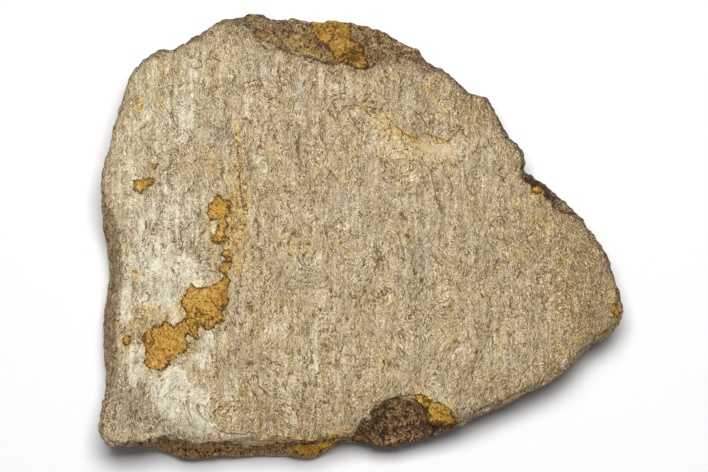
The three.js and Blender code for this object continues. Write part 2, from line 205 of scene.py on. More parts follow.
# Rust that has soaked into the bone, in the form of the dark crust.
rustStains = [
    (-43.2, 31.8, 1.3, 7, 0.8), (-42.3, 14.3, 2.4, 9, 0.8), (-41.4, 1.4, 2.6, 9, 0.8),
    (-44.2, -5, 3, 1.8, 0.95), (-46.3, -5.1, 2, 1.4, 0.9), (-42.1, -12.4, 1.6, 5, 0.6),
    (-52.1, 22.3, 2.6, 4.2, 0.55), (-46.7, 18.5, 1, 1.5, 1), (-42.9, 18.5, 1.3, 0.9, 0.95),
    (-41.7, 24.8, 1.6, 3, 0.5), (-41.9, 9, 1.4, 1.2, 0.8), (-38.1, 11.3, 1.4, 1.2, 0.7),
    (-77.6, 44.3, 2.2, 2.4, 0.75), (-76.7, 44.3, 1, 1.6, 1), (-78.3, 41.7, 2.6, 1.4, 0.5),
    (-71.3, 46.5, 1.3, 0.9, 1), (-70.1, 44.7, 0.9, 1.7, 1), (-69.1, 42.7, 0.9, 1.4, 1),
    (-73.7, 48.8, 2, 2.6, 0.4), (-77.3, 29.3, 2.2, 1.6, 0.4), (-77.5, -15.9, 1.5, 2.4, 0.65),
    (-82.7, -6, 1.2, 3.2, 0.7), (-79.5, -24.7, 3, 3.4, 0.42), (-73.6, -27.7, 3.6, 3.4, 0.3),
    (-75, -31.1, 5, 1.8, 0.35), (-78.9, -32.1, 1.6, 1.2, 0.8), (-44.6, -2.5, 1.6, 4, 0.6),
    (-53, -22.1, 2.4, 2, 0.4), (-57.9, -46.3, 1.4, 4, 0.3), (-56.1, -59, 1.8, 2.6, 0.45),
    (-80, -69.8, 1.8, 1.4, 0.55), (-1.5, 43.1, 5, 1, 0.4), (8.3, 39.8, 1.6, 3.6, 0.5),
    (13.3, 34.3, 4, 1.4, 0.6), (16.9, 32.9, 3.4, 1.6, 0.95), (19.9, 31.3, 3, 1.6, 0.7),
    (27.3, 31.3, 3.6, 1.2, 0.85), (33.2, 33.5, 1.2, 1.8, 0.6), (19.9, 27.8, 9, 3.4, 0.3),
    (29.8, 24.3, 4, 2.6, 0.28), (7.7, 25.5, 1.2, 1.2, 0.65), (-23.8, -6.1, 1.5, 2.2, 0.75),
    (-17.8, -5.1, 3.4, 2, 0.4), (-30.1, -23.8, 2.4, 3.4, 0.35), (25.9, 46.8, 2.2, 3.4, 0.6),
    (23.5, 50.3, 1.6, 1.4, 0.6), (18.1, -57.6, 2.4, 2.4, 0.6), (56.3, -9.5, 1.6, 2.6, 0.5),
    (63.4, 11.8, 2.6, 3, 0.4), (85.9, -23.3, 1.4, 3, 0.5), (51.1, -47.3, 2, 2.4, 0.3),
    (-9.8, 62.9, 3.4, 3.6, 0.3), (-3.4, -9.3, 1.6, 4, 0.5), (-28.9, 42.3, 2, 3, 0.25),
    (-2, -71.8, 5, 1.6, 0.6), (9.9, 2.4, 3, 4, 0.2), (32.5, -37, 3, 4, 0.25), (-26, 64.3, 1.4, 1.6, 0.5),
    (-42.6, 24, 2.2, 20, 0.42), (-40.6, 2, 2.2, 16, 0.5), (-62, -28, 5, 3.4, 0.5), (-69, -30.5, 5, 3, 0.35),
    (-46.2, -1.5, 5, 4, 0.4), (14, 34.5, 6, 3, 0.45), (9, 38, 3, 4, 0.4), (28, 42, 3, 4, 0.35),
    (48, 30, 3, 5, 0.3), (62, 2, 3, 6, 0.3), (-82, -38.5, 3, 4, 0.5), (-12, 66, 16, 6, 0.25),
    (53.4, 9.5, 1.6, 2.6, 0.55), (58.2, 2.9, 1.4, 2, 0.5), (64.5, 0.8, 2.2, 2.6, 0.4),
    (55.5, -6.9, 2.4, 1.8, 0.45), (50.9, -9, 2, 1.6, 0.6), (71.4, -9.4, 3, 2.4, 0.5),
    (47.8, -3.4, 2, 4, 0.35), (63.4, -23.7, 3, 4, 0.3), (68.6, -41.9, 4, 4, 0.35),
    (47.8, -41.2, 3, 5, 0.35), (86.6, -19.5, 1.6, 4, 0.6), (76.9, -33.5, 2, 3, 0.4), (27, -11.1, 3, 3, 0.3),
    (37.4, 5.3, 2, 3, 0.45), (31.2, -34.9, 3, 4, 0.3), (-21.5, -34.9, 2.4, 2, 0.35),
    (-32.6, -24.4, 2, 4, 0.35), (-7.6, -3.4, 2, 4, 0.3), (-15.2, 22.8, 1.6, 3, 0.4),
    (-5.9, 18.3, 1.2, 4, 0.55), (-31.9, 28.1, 2, 3, 0.4), (-19.7, 42.1, 2, 4, 0.35),
    (-24.9, 3.6, 1.6, 3, 0.4), (14.9, 8.8, 1.8, 2.6, 0.35), (-4.1, -20.9, 2, 3, 0.35),
    (20.1, -54.2, 3, 2, 0.4), (10.4, -24.4, 2, 2, 0.35), (-43.6, 10.6, 2.1, 7.7, 0.85),
    (-41.2, 5.3, 1.4, 10.5, 0.6), (-42.3, 18.3, 1, 6.3, 0.7), (-40.2, 12, 1, 2.4, 0.9),
    (-73.4, -27.2, 4.9, 2.8, 0.4), (-79, -14.6, 1.4, 2.1, 0.9), (-76.9, -32.1, 2.1, 2.8, 0.6),
    (-68.9, -32.1, 2.8, 1.8, 0.6), (-52.7, -2.7, 1.7, 2.8, 0.7), (-51.3, 7.1, 1.4, 7, 0.5),
    (20.1, -58.7, 4.9, 2.1, 0.7), (29.8, -58.7, 2.8, 3.5, 0.5), (31.2, -63.6, 2.1, 3.5, 0.5),
    (-17.3, -72.7, 8.3, 1, 0.7), (-28.1, 66.6, 2.8, 1.8, 0.6), (-33.3, 68, 2.1, 1.8, 0.5),
    (-86.6, 0.8, 1, 4.9, 0.7), (-88, -5.5, 1, 2.8, 0.6), (8.3, 35.4, 3.1, 1, 0.9), (14.6, 33, 2.8, 1, 0.9),
    (17.7, 31.6, 1.7, 1.2, 1), (23.6, 34.4, 2.8, 0.9, 1), (28.8, 31.2, 3.5, 0.9, 0.95),
    (5.2, 39.6, 1.7, 2.4, 0.5), (1.7, 43.1, 1.7, 2.4, 0.45), (0.4, 46.3, 1.4, 2.8, 0.45),
    (21.8, 49.8, 1, 1.4, 0.8), (24.3, 52.6, 1.7, 2.8, 0.4), (18.7, 38.6, 1, 1.8, 0.6),
    (5.2, 26.3, 1, 1.4, 0.75), (27, 32.6, 1.4, 1, 0.8), (-26.7, -2.7, 1.7, 1.4, 0.8),
    (-19.4, -8.3, 1, 1.8, 0.8), (-34.6, -9.7, 0.9, 1.4, 0.6), (-16.3, -14.6, 1, 1.8, 0.5),
    (-32.6, -16.7, 1, 1.4, 0.6), (60.6, 14.4, 1.7, 1.4, 1), (88, -28.6, 1.6, 2.3, 1),
    (60.6, 14.4, 1.7, 1.4, 0.9), (88, -28.3, 1.7, 2.4, 0.9), (-44.3, 2.9, 2.4, 7.7, 0.7),
    (-43.6, -11.1, 1.6, 7, 0.6), (-45, -4.5, 2.4, 1.8, 0.85), (-52.7, 1.1, 1.7, 2.8, 0.55),
    (23.9, 18.3, 1, 3.1, 0.55), (-43.6, 31.6, 1, 4.9, 0.35), (-76.9, 44.2, 1.7, 2.1, 0.6),
    (-45, -24.4, 1.4, 2.8, 0.5), (22.9, 51.2, 1.7, 2.4, 0.85), (25.7, 54, 1.4, 1.4, 0.6),
    (-43, 69, 4.2, 2.4, 0.15), (-42.3, 1.8, 1.7, 3.5, 0.6), (-46.4, 6, 1.4, 2.8, 0.5),
    (60.6, 13.7, 1.7, 1.6, 0.8), (87.7, -28.3, 1.6, 2.3, 0.8), (62, 14.8, 1.4, 1, 0.8),
]

# Chalky film, in the same form.
chalkFilms = [
    (-75.5, 20.3, 14, 46, 0.3), (-60.7, 41.3, 3.4, 11, 0.8), (-56.9, 56.3, 6, 8, 0.3),
    (-72.8, -10, 9.5, 10.5, 0.62), (-60.3, -14.4, 7, 6, 0.5), (-81, -25.7, 2.6, 9, 0.95),
    (-66.6, -23.3, 4, 5, 0.9), (-64.5, -30.2, 1.6, 4, 1), (-57.7, -18.3, 3, 2.4, 1),
    (-66.9, -53.7, 9, 7, 0.75), (-57.7, -60.5, 6.6, 7.5, 0.95), (-77.4, -44.9, 3, 6, 0.95),
    (-77.2, -50.7, 4, 5, 0.6), (-61.4, -1.6, 13, 26, 0.28), (-52.8, -39, 4, 6, 0.6),
    (-39.8, 45.9, 2, 9, 0.5), (-33.9, 53.3, 2.4, 6, 0.35), (-21.6, 45.9, 2.4, 9, 0.45),
    (-14.6, 48.3, 1.8, 12, 0.3), (-15.9, -40, 1, 15, 0.55), (-30, -34.8, 5, 5.5, 0.4),
    (-14.9, -13.4, 1.4, 14, 0.3), (-5.4, 50.3, 2, 8, 0.3), (26.8, 28.5, 5, 2.4, 0.65),
    (2.5, 30.3, 3, 10, 0.2), (-51.2, 1.2, 0.9, 2.8, 1), (-46.7, -6.1, 1.2, 1, 0.6),
    (-45.3, -52.7, 6, 10, 0.25), (17.8, 18.3, 6, 3, 0.3), (-57.6, -34.1, 1.4, 2, 0.7),
    (-23.6, -66.4, 1.4, 4, 0.5), (29.4, -58.6, 4, 2.4, 0.4), (-55.4, -45.4, 4.9, 3.5, 0.75),
    (-74.1, -24.4, 5.2, 3.1, 0.8), (-68.2, -34.9, 3.5, 2.1, 0.5), (-83.1, -41.9, 2.8, 7.7, 0.45),
]

# Broad yellow-brown ageing.
tawnyFilms = [
    (82.5, -20.9, 17.3, 35, 1), (72.1, -6.9, 13.9, 21, 0.45), (39.2, 43.8, 9.7, 15.7, 0.35),
    (52, 26.3, 7.6, 14, 0.35), (68.6, -49.6, 18, 9.1, 0.6), (47.8, -58.7, 15.9, 7, 0.45),
    (-21.5, -69.9, 18, 7.7, 0.5), (-34.6, -63.6, 11.8, 9.1, 0.3), (-77.6, -29.7, 4.2, 17.5, 0.35),
    (47.8, -6.9, 17.3, 28, 0.22), (27, 49.1, 9, 14, 0.3), (9.7, 59.6, 24.3, 4.9, 0.3),
    (-7.6, -61.2, 13.9, 9.1, 0.3), (-21.5, 45.6, 2.8, 21, 0.25), (-76.9, 42.8, 6.9, 5.6, 0.25),
    (34, -34.9, 10.4, 14, 0.2), (20.1, 31.6, 5.5, 10.5, 0.25), (-86.6, -20.9, 2.8, 21, 0.6),
    (-88.3, -41.9, 2.8, 17.5, 0.4), (-30.1, 67.3, 10.4, 6.3, 0.5), (60, 1.8, 4.9, 10.5, 0.4),
    (54.1, -6.9, 4.2, 5.6, 0.4), (40.9, 45.6, 6.9, 3.5, 0.3), (-23.2, 54.3, 4.2, 7, 0.3),
    (-43, 70.1, 5.2, 4.5, 0.8), (60.3, 1.5, 3.5, 4.2, 0.4), (43.3, 40.3, 3.1, 4.9, 0.5),
    (22.5, 50.8, 2.8, 2.8, 0.95), (27, 54.3, 2.8, 2.8, 0.4), (85.3, -15.7, 3.1, 7.7, 0.6),
    (70.4, -49.6, 7.6, 3.5, 0.6), (-5.9, 56.1, 13.9, 2.8, 0.35), (82.5, -6.9, 2.8, 7, 0.4),
    (-42.3, 69.4, 5.2, 4.2, 0.6), (-59.6, -71, 9.7, 2.1, 0.5), (-73.4, 43.8, 6.9, 3.5, 0.25),
    (1.1, -57.7, 4.9, 4.9, 0.35), (26.3, 5.3, 4.9, 4.2, 0.3), (51.3, -6.2, 3.5, 4.9, 0.4),
    (61.7, 13, 3.5, 3.1, 0.5), (72.8, -49.6, 6.9, 3.5, 0.6), (-5.9, 56.1, 10.4, 2.8, 0.35),
    (13.2, 54.3, 6.9, 3.5, 0.3), (-83.8, -11.1, 2.8, 3.5, 0.4), (-59.6, -11.1, 2.8, 2.8, 0.3),
    (28.8, 28.1, 2.8, 5.6, 0.25), (49.6, 14.1, 3.5, 4.2, 0.3), (22.9, 50.8, 2.4, 3.1, 0.7),
]

# Broad bleaching.
bleachFilms = [
    (-73.4, 45.6, 17.3, 24.5, 0.9), (-54.4, 54.3, 13.9, 10.5, 0.8), (-83.8, 17.6, 6.9, 21, 0.9),
    (-40.5, 14.1, 15.6, 21, 0.6), (-59.6, 38.6, 4.9, 21, 0.6), (-70, -24.4, 6.9, 4.9, 1),
    (-58.9, -49.6, 6.2, 5.6, 1), (-66.5, -68.2, 6.2, 4.9, 0.8), (-31.9, -1.7, 8.3, 14, 0.5),
    (-18, -34.9, 20.8, 17.5, 0.4), (-0.7, 52.6, 9, 9.1, 0.3), (-83.8, -57.7, 10.4, 10.5, 0.3),
    (-76.9, -45.4, 4.9, 5.6, 0.8), (-73.4, 42.1, 10.4, 10.5, 0.4), (-57.9, 52.6, 4.9, 8.4, 0.6),
    (-70, 24.6, 10.4, 3.5, 0.5), (-84.5, 7.1, 2.8, 4.9, 0.6), (-41.2, 21.1, 1.7, 9.8, 0.6),
    (-40.5, -3.4, 2.1, 3.5, 0.5), (-0.7, 42.1, 4.2, 4.2, 0.4), (18.4, 22.8, 4.9, 2.8, 0.4),
    (28.8, -24.4, 5.5, 4.2, 0.35), (27, -48.2, 4.9, 3.5, 0.35), (-34.6, -55.9, 5.5, 4.2, 0.35),
    (-40.5, -69.9, 4.9, 2.1, 0.4),
]

# Thick chalk with a clear edge, as an outline.
chalkPatch = [
    (-70, -49.6), (-65.8, -46.1), (-61, -48.2), (-58.2, -53.1), (-54.7, -59.4), (-51.3, -65),
    (-48.5, -69.9), (-54.4, -71.3), (-61.3, -70.6), (-67.2, -67.8), (-70, -62.2), (-73.4, -56.6),
]

# Greyer, browner bone.
greyFilms = [
    (-80.6, -60, 10, 11, 0.95), (-66.8, -67.3, 14, 3.6, 0.85), (-59.6, 28.3, 3.4, 8, 0.45),
    (-84.6, -52.7, 2.6, 10, 0.5), (11.8, -46.8, 3, 3, 0.3), (51.4, -15.4, 6, 8, 0.3),
    (-19.9, 28.3, 4, 10, 0.25), (21.7, -29.2, 6, 10, 0.2), (-65.2, -20.3, 3, 3, 0.5),
    (-71.4, 7.4, 4, 5, 0.4), (-49.7, 32.3, 3, 6, 0.4), (-36, 68.9, 8, 3.6, 0.6), (14, 60.3, 14, 4, 0.6),
    (43.2, -62.5, 18, 5, 0.5), (-30, 66.4, 4, 3, 0.5), (74.7, -48.8, 14, 5, 0.5), (39.9, 53.3, 4, 8, 0.5),
    (69.2, -11.4, 6, 12, 0.25), (-55.4, -7.5, 3, 5, 0.5), (-18, 60.3, 5, 2, 0.3), (86, -19, 10, 26, 0.6),
    (-59.6, -71, 9.7, 2.4, 0.8), (-45, 73.6, 4.2, 2.8, 0.5), (-40.5, 68.3, 3.5, 2.1, 0.4),
    (-43, 69.4, 4.9, 3.5, 0.7), (22.9, 51.2, 2.1, 2.8, 0.5), (-59.6, -70.3, 9.7, 2.8, 0.45),
    (-43.6, 69, 4.2, 2.8, 0.8),
]

# Broken bone laid bare, as outlines.
bareRegions = {
    "backBreak": [
        (-40.6, 74.4), (-39, 70.9), (-36.8, 67.8), (-34, 65.8), (-31, 66), (-25.2, 63), (-20.8, 61.7),
        (-15, 59.2), (-8, 58.5), (-4.5, 58.1), (-2, 56.7), (1.8, 56.7), (5, 58.1), (10.5, 59.3), (16, 58.7),
        (21.6, 59.5), (24.4, 57.9), (27.2, 60), (26, 70.7), (13.3, 79.7), (-21.7, 81.5), (-40.6, 79.7),
    ],
    "frontPocket": [
        (-4.2, -71.4), (-2.1, -68.6), (0.6, -65.2), (3.4, -62.7), (5.5, -60.5), (7.5, -58.9), (11, -58),
        (14.8, -58.6), (17.6, -60.3), (21, -60), (22.5, -60.9), (22.9, -64.4), (23.5, -66.9), (27.4, -67.5),
        (31.4, -66.2), (32.3, -67.3), (30.8, -80), (-4.2, -80),
    ],
    "frontLedge": [
        (-76.6, -73.6), (-72.8, -72.2), (-64.8, -73), (-56.9, -73.9), (-50.5, -73.2), (-45.7, -73.8),
        (-42.2, -75.5), (-39.2, -76.3), (-34.4, -75.5), (-27.5, -73.6), (-22, -72.8), (-14.8, -73.1),
        (-8.9, -72.2), (-4.2, -71.4), (-0.1, -70.2), (-0.1, -85.8), (-76.4, -85.8),
    ],
    "rightChip": [
        (56.2, 19.4), (57.2, 16.9), (58.6, 15.4), (61.3, 14.4), (63.5, 12.4), (65.6, 9.9), (68.4, 6.4),
        (73.8, 5.7), (68.6, 15.8), (56.1, 22.5),
    ],
}

# Smooth inner layers that a flake has left bare, as outlines.
paleBeds = {
    "backLump": [
        (-37.8, 69.7), (-36, 70.2), (-34.3, 69), (-32.2, 68.7), (-30.1, 68.7), (-29.4, 66.6), (-31.5, 65.5),
        (-33.9, 65.9), (-36, 67.3),
    ],
    "wideLump": [
        (-27.7, 69), (-24.9, 69.4), (-21.8, 68.7), (-19.4, 67.3), (-17, 65.9), (-13.8, 63.4), (-11.1, 61.3),
        (-12.5, 59.9), (-16.3, 61), (-20.4, 61.7), (-23.5, 63.8), (-27, 65.9),
    ],
    "backFlake": [
        (1.9, 43.9), (4.4, 41.7), (6.2, 36.9), (9.9, 35.8), (13.5, 34), (17.6, 33.2), (19.7, 33.2),
        (21.6, 34.7), (24.5, 34), (26.7, 32.5), (31.8, 31.8), (32.9, 27), (32.1, 20.3), (26.7, 21.4),
        (21.6, 24.4), (16.5, 24.8), (10.6, 25.1), (6.2, 25.1), (4.8, 27), (5.9, 30.6), (4.4, 35.8),
        (2.6, 40.2),
    ],
}

# Edges of thin layers that have flaked off: the drop, and where it runs.
# The bone is higher on the left of the way that the points run, or on the right where the drop is negative.
flakeEdges = [
    (0.55, [(-9, 43.7), (-3, 43.9), (2, 43.5), (6.6, 42.9)]),
    (0.85, [
        (7.4, 43.1), (8.9, 39.5), (11.5, 36.7), (14.9, 33.9), (18.5, 32.3), (21.6, 34.2), (25.7, 32.8),
        (29.6, 31.2), (32.7, 33.5), (34.1, 37.3), (33.4, 43.1), (31.4, 47.7),
    ]),
    (-0.9, [
        (8.4, 24.9), (14.9, 24.7), (19.2, 24.2), (22.2, 23.3), (24, 20.8), (25.2, 17.6), (25.6, 13.3),
        (26.5, 8.4), (27, 4.3),
    ]),
    (-0.4, [
        (-43.4, 40.3), (-43.1, 26.3), (-42.1, 14.3), (-40.5, 4.4), (-40.6, -7.5), (-41.9, -15.4),
        (-43.1, -25.2), (-43.4, -35.1),
    ]),
    (0.5, [(-14.5, 22.9), (-11.4, 28.2), (-8.4, 33.2), (-5.6, 38.1)]),
    (0.5, [(32.6, -21.3), (28.6, -25.2), (24.1, -27.2), (21.7, -32.1), (18.7, -37)]),
    (-0.45, [(1.9, -17.4), (-1, -25.2), (0.9, -33.1), (3.9, -39)]),
    (0.35, [(60, -43.9), (55, -50.7), (52, -57.6)]),
    (-0.4, [(-45.9, 50.3), (-47.8, 40.3), (-46.7, 31.3)]),
    (0.6, [
        (46.8, -30.7), (43.3, -38.4), (40.9, -42.6), (39.2, -45.8), (37.8, -50.7), (37.1, -53.1),
        (35.7, -57.7),
    ]),
    (-0.4, [
        (-29.5, -70.7), (-35.4, -69.9), (-43.2, -70.6), (-51.1, -68.9), (-58.9, -67.9), (-66.8, -68.1),
    ]),
]

# Grooves and cracks: half their width, their depth and where they run.
grooves = [
    (2, 0.75, [
        (46.2, -30), (44.8, -34.1), (42.7, -38.9), (40.3, -43.8), (37.8, -48.6), (35.1, -54.2),
        (33.4, -57.6),
    ]),
    (0.45, 0.5, [
        (-66.7, 64.6), (-66.2, 59.3), (-65.7, 53.7), (-66.3, 47.7), (-65.5, 41.6), (-64.9, 36.7),
        (-65.2, 33.2),
    ]),
    (0.8, 0.8, [(4.1, -4.5), (6.6, -7.6), (5.2, -12.5), (3.4, -17.1), (1.3, -21.2)]),
    (0.7, 0.7, [(16.5, -26.1), (18.6, -23.3), (21.4, -20.2), (23.2, -17.1)]),
    (0.9, 1, [(-10.7, -39.7), (-9.7, -41), (-8.3, -42.7)]),
    (0.7, 0.6, [(24.4, 20.3), (26, 16.8), (26.2, 12.3), (27.1, 7.4), (27.7, 2.4)]),
    (0.6, 0.6, [(-13.4, 23.1), (-9.7, 19.2), (-6.2, 15.5)]),
    (0.7, 0.5, [(-40.4, -56.6), (-38, -50.7), (-36.2, -50.4), (-33.5, -56.6), (-30.9, -61.5)]),
    (0.6, 0.5, [(65.4, 6.4), (66.8, -0.6), (65.7, -7.5), (67.2, -13.4)]),
    (0.6, 0.5, [(13.8, 3.4), (12.8, -2.5), (14.8, -8.5), (13.4, -13.4)]),
    (0.6, 0.5, [(43.6, 10.3), (42.2, 3.4), (40.2, -2.5)]),
    (0.6, 0.5, [(-20.9, 38.3), (-22.3, 31.3), (-20.9, 24.3), (-22.8, 18.3)]),
    (0.5, 0.5, [(-37.7, 6.4), (-35.7, 1.4), (-36.2, -5.5)]),
    (0.4, 0.7, [
        (-38.8, 70.8), (-36.7, 67.6), (-33.9, 64.8), (-27.4, 63.1), (-20.8, 61), (-14.5, 58.9),
        (-9.7, 57.5),
    ]),
    (1.8, 2.4, [(-27.4, 79.5), (-28.1, 74.3), (-29.4, 70.1)]),
    (0.35, 0.5, [(-28.1, 69.7), (-27, 65.5), (-23.9, 63.1)]),
]

# Short cracks strewn over the face.
looseCracks = {
    "count": 420, "reach": (-88, 84, -68, 66), "length": (0.9, 5.0), "width": (0.12, 0.32), "depth": 0.45,
    "slant": 0.55, "bend": 0.65, "seed": 17,
}


def tables(seed):
    rng = np.random.default_rng(seed)
    slopes = rng.normal(size=(256, 3))
    slopes /= np.linalg.norm(slopes, axis=1)[:, None]
    return rng.permutation(256), slopes, rng.random((256, 3)), rng.random(256)


def hashed(order, at):
    return order[(order[(order[at[:, 0] & 255] + at[:, 1]) & 255] + at[:, 2]) & 255]


# Smooth noise from about -1 to 1, with one swell per unit.
def waves(points, seed):
    order, slopes, _, _ = tables(seed)
    cell = np.floor(points).astype(int)
    inside = points - cell
    ease = inside ** 3 * (inside * (inside * 6 - 15) + 10)
    total = np.zeros(len(points))
    for corner in itertools.product((0, 1), repeat=3):
        slope = slopes[hashed(order, cell + corner)]
        weight = np.prod(np.where(corner, ease, 1 - ease), axis=1)
        total += weight * np.einsum("ij,ij->i", slope, inside - corner)
    return total * 1.6


# Distance to the nearest of scattered points, one per unit cell, and a random number that belongs to it.
def scatter(points, seed):
    order, _, places, numbers = tables(seed)
    cell = np.floor(points).astype(int)
    nearest = np.full(len(points), far)
    number = np.zeros(len(points))
    for step in itertools.product((-1, 0, 1), repeat=3):
        key = hashed(order, cell + step)
        gap = np.linalg.norm(cell + step + places[key] - points, axis=1)
        closer = gap < nearest
        nearest[closer] = gap[closer]
        number[closer] = numbers[key][closer]
    return nearest, number


def ramp(value, low, high):
    share = np.clip((value - low) / (high - low), 0, 1)
    return share * share * (3 - 2 * share)


def filmShare(x, y, films):
    clear = np.ones(len(x))
    for cx, cy, rx, ry, strength in films:
        away = np.hypot((x - cx) / rx, (y - cy) / ry)
        clear *= 1 - strength * (1 - ramp(away, 0.35, 1.35))
    return 1 - clear


# Distance to a line of straight pieces, the side it lies on, and the share of the line's length reached.
def lineDistance(x, y, points):
    least = np.full(len(x), far)
    side = np.zeros(len(x))
    reached = np.zeros(len(x))
    for i, ((ax, ay), (bx, by)) in enumerate(zip(points, points[1:])):
        dx, dy = bx - ax, by - ay
        along = np.clip(((x - ax) * dx + (y - ay) * dy) / (dx * dx + dy * dy), 0, 1)
        ox, oy = x - ax - along * dx, y - ay - along * dy
        gap = np.hypot(ox, oy)
        closer = gap < least
        least[closer] = gap[closer]
        side[closer] = np.sign(dx * (y - ay) - dy * (x - ax))[closer]
        reached[closer] = (i + along[closer]) / (len(points) - 1)
    return least, side, reached


# Signed distance to an outline: negative inside.
def regionDistance(x, y, corners):
    inside = np.zeros(len(x), bool)
    least = np.full(len(x), far)
    for (ax, ay), (bx, by) in zip(corners, corners[1:] + corners[:1]):
        crosses = ((ay > y) != (by > y)) & (x < (bx - ax) * (y - ay) / (by - ay + 1e-9) + ax)
        inside ^= crosses
        gap, _, _ = lineDistance(x, y, [(ax, ay), (bx, by)])
        least = np.minimum(least, gap)
    return np.where(inside, -least, least)


# Bakes the piece's modifiers into its mesh.
def evaluated(piece, name):
    bpy.context.view_layer.update()
    graph = bpy.context.evaluated_depsgraph_get()
    mesh = bpy.data.meshes.new_from_object(piece.evaluated_get(graph))
    mesh.name = name
    old = piece.data
    piece.modifiers.clear()
    piece.data = mesh
    bpy.data.meshes.remove(old)


def vertexArray(mesh, what):
    values = np.zeros(len(mesh.vertices) * 3)
    mesh.vertices.foreach_get(what, values)
    return values.reshape(-1, 3)


def fineSlab():
    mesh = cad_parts["frill_section"].data.copy()
    welded = bmesh.new()
    welded.from_mesh(mesh)
    bmesh.ops.remove_doubles(welded, verts=welded.verts, dist=slab["weld"] * mm)
    welded.to_mesh(mesh)
    welded.free()
    mesh.materials.clear()
    piece = bpy.data.objects.new("frillBone", mesh)
    bpy.context.scene.collection.objects.link(piece)
    remesh = piece.modifiers.new("fine", "REMESH")
    remesh.mode = "VOXEL"
    remesh.voxel_size = slab["spacing"] * mm
    even = piece.modifiers.new("even", "SMOOTH")
    even.iterations = slab["evenPasses"]
    evaluated(piece, "frillBone")
    # fewer faces underneath, where little shows
    normals = vertexArray(piece.data, "normal")
    under = piece.vertex_groups.new(name="under")
    low = vertexArray(piece.data, "co")[:, 2] < slab["underRise"] * mm
    hidden = np.flatnonzero((normals[:, 2] < -0.9) & low)
    under.add(hidden.tolist(), 1.0, "REPLACE")
    faces = 2 * len(piece.data.polygons)
    kept = faces - (1 - slab["underKept"]) * 2 * len(hidden)
    thin = piece.modifiers.new("thin", "DECIMATE")
    thin.ratio = min(kept, slab["facesLimit"]) / faces
    thin.vertex_group = "under"
    thin.vertex_group_factor = 10.0
    evaluated(piece, "frillBone")
    piece.vertex_groups.clear()
    return piece


def nearestOutline(x, y, outlines):
    nearby = 8
    least = np.full(len(x), far)
    for corners in outlines:
        spread = np.array(corners)
        low, high = spread.min(axis=0) - nearby, spread.max(axis=0) + nearby
        near = (x > low[0]) & (x < high[0]) & (y > low[1]) & (y < high[1])
        least[near] = np.minimum(least[near], regionDistance(x[near], y[near], corners))
    return least


def strewnCracks(spec):
    rng = np.random.default_rng(spec["seed"])
    left, right, front, back = spec["reach"]
    strewn = []
    for _ in range(spec["count"]):
        at = np.array([rng.uniform(left, right), rng.uniform(front, back)])
        heading = rng.normal(math.pi / 2, spec["slant"])
        points = [tuple(at)]
        for _ in range(3):
            heading += rng.normal(0, spec["bend"])
            at = at + rng.uniform(*spec["length"]) / 3 * np.array([math.cos(heading), math.sin(heading)])
            points.append(tuple(at))
        width = rng.uniform(*spec["width"])
        strewn.append((width, spec["depth"] * rng.uniform(0.6, 1.2), points))
    return strewn


# Keeps a signed distance to the nearest line, which stays sharp between the vertices,
# and how near that line is.
def markLine(masks, name, where, gap, side, extra=0.0):
    near = gap + extra
    closer = near < masks[name + "Near"][where]
    masks[name][where] = np.where(closer, gap * side, masks[name][where])
    masks[name + "Near"][where] = np.where(closer, near, masks[name + "Near"][where])


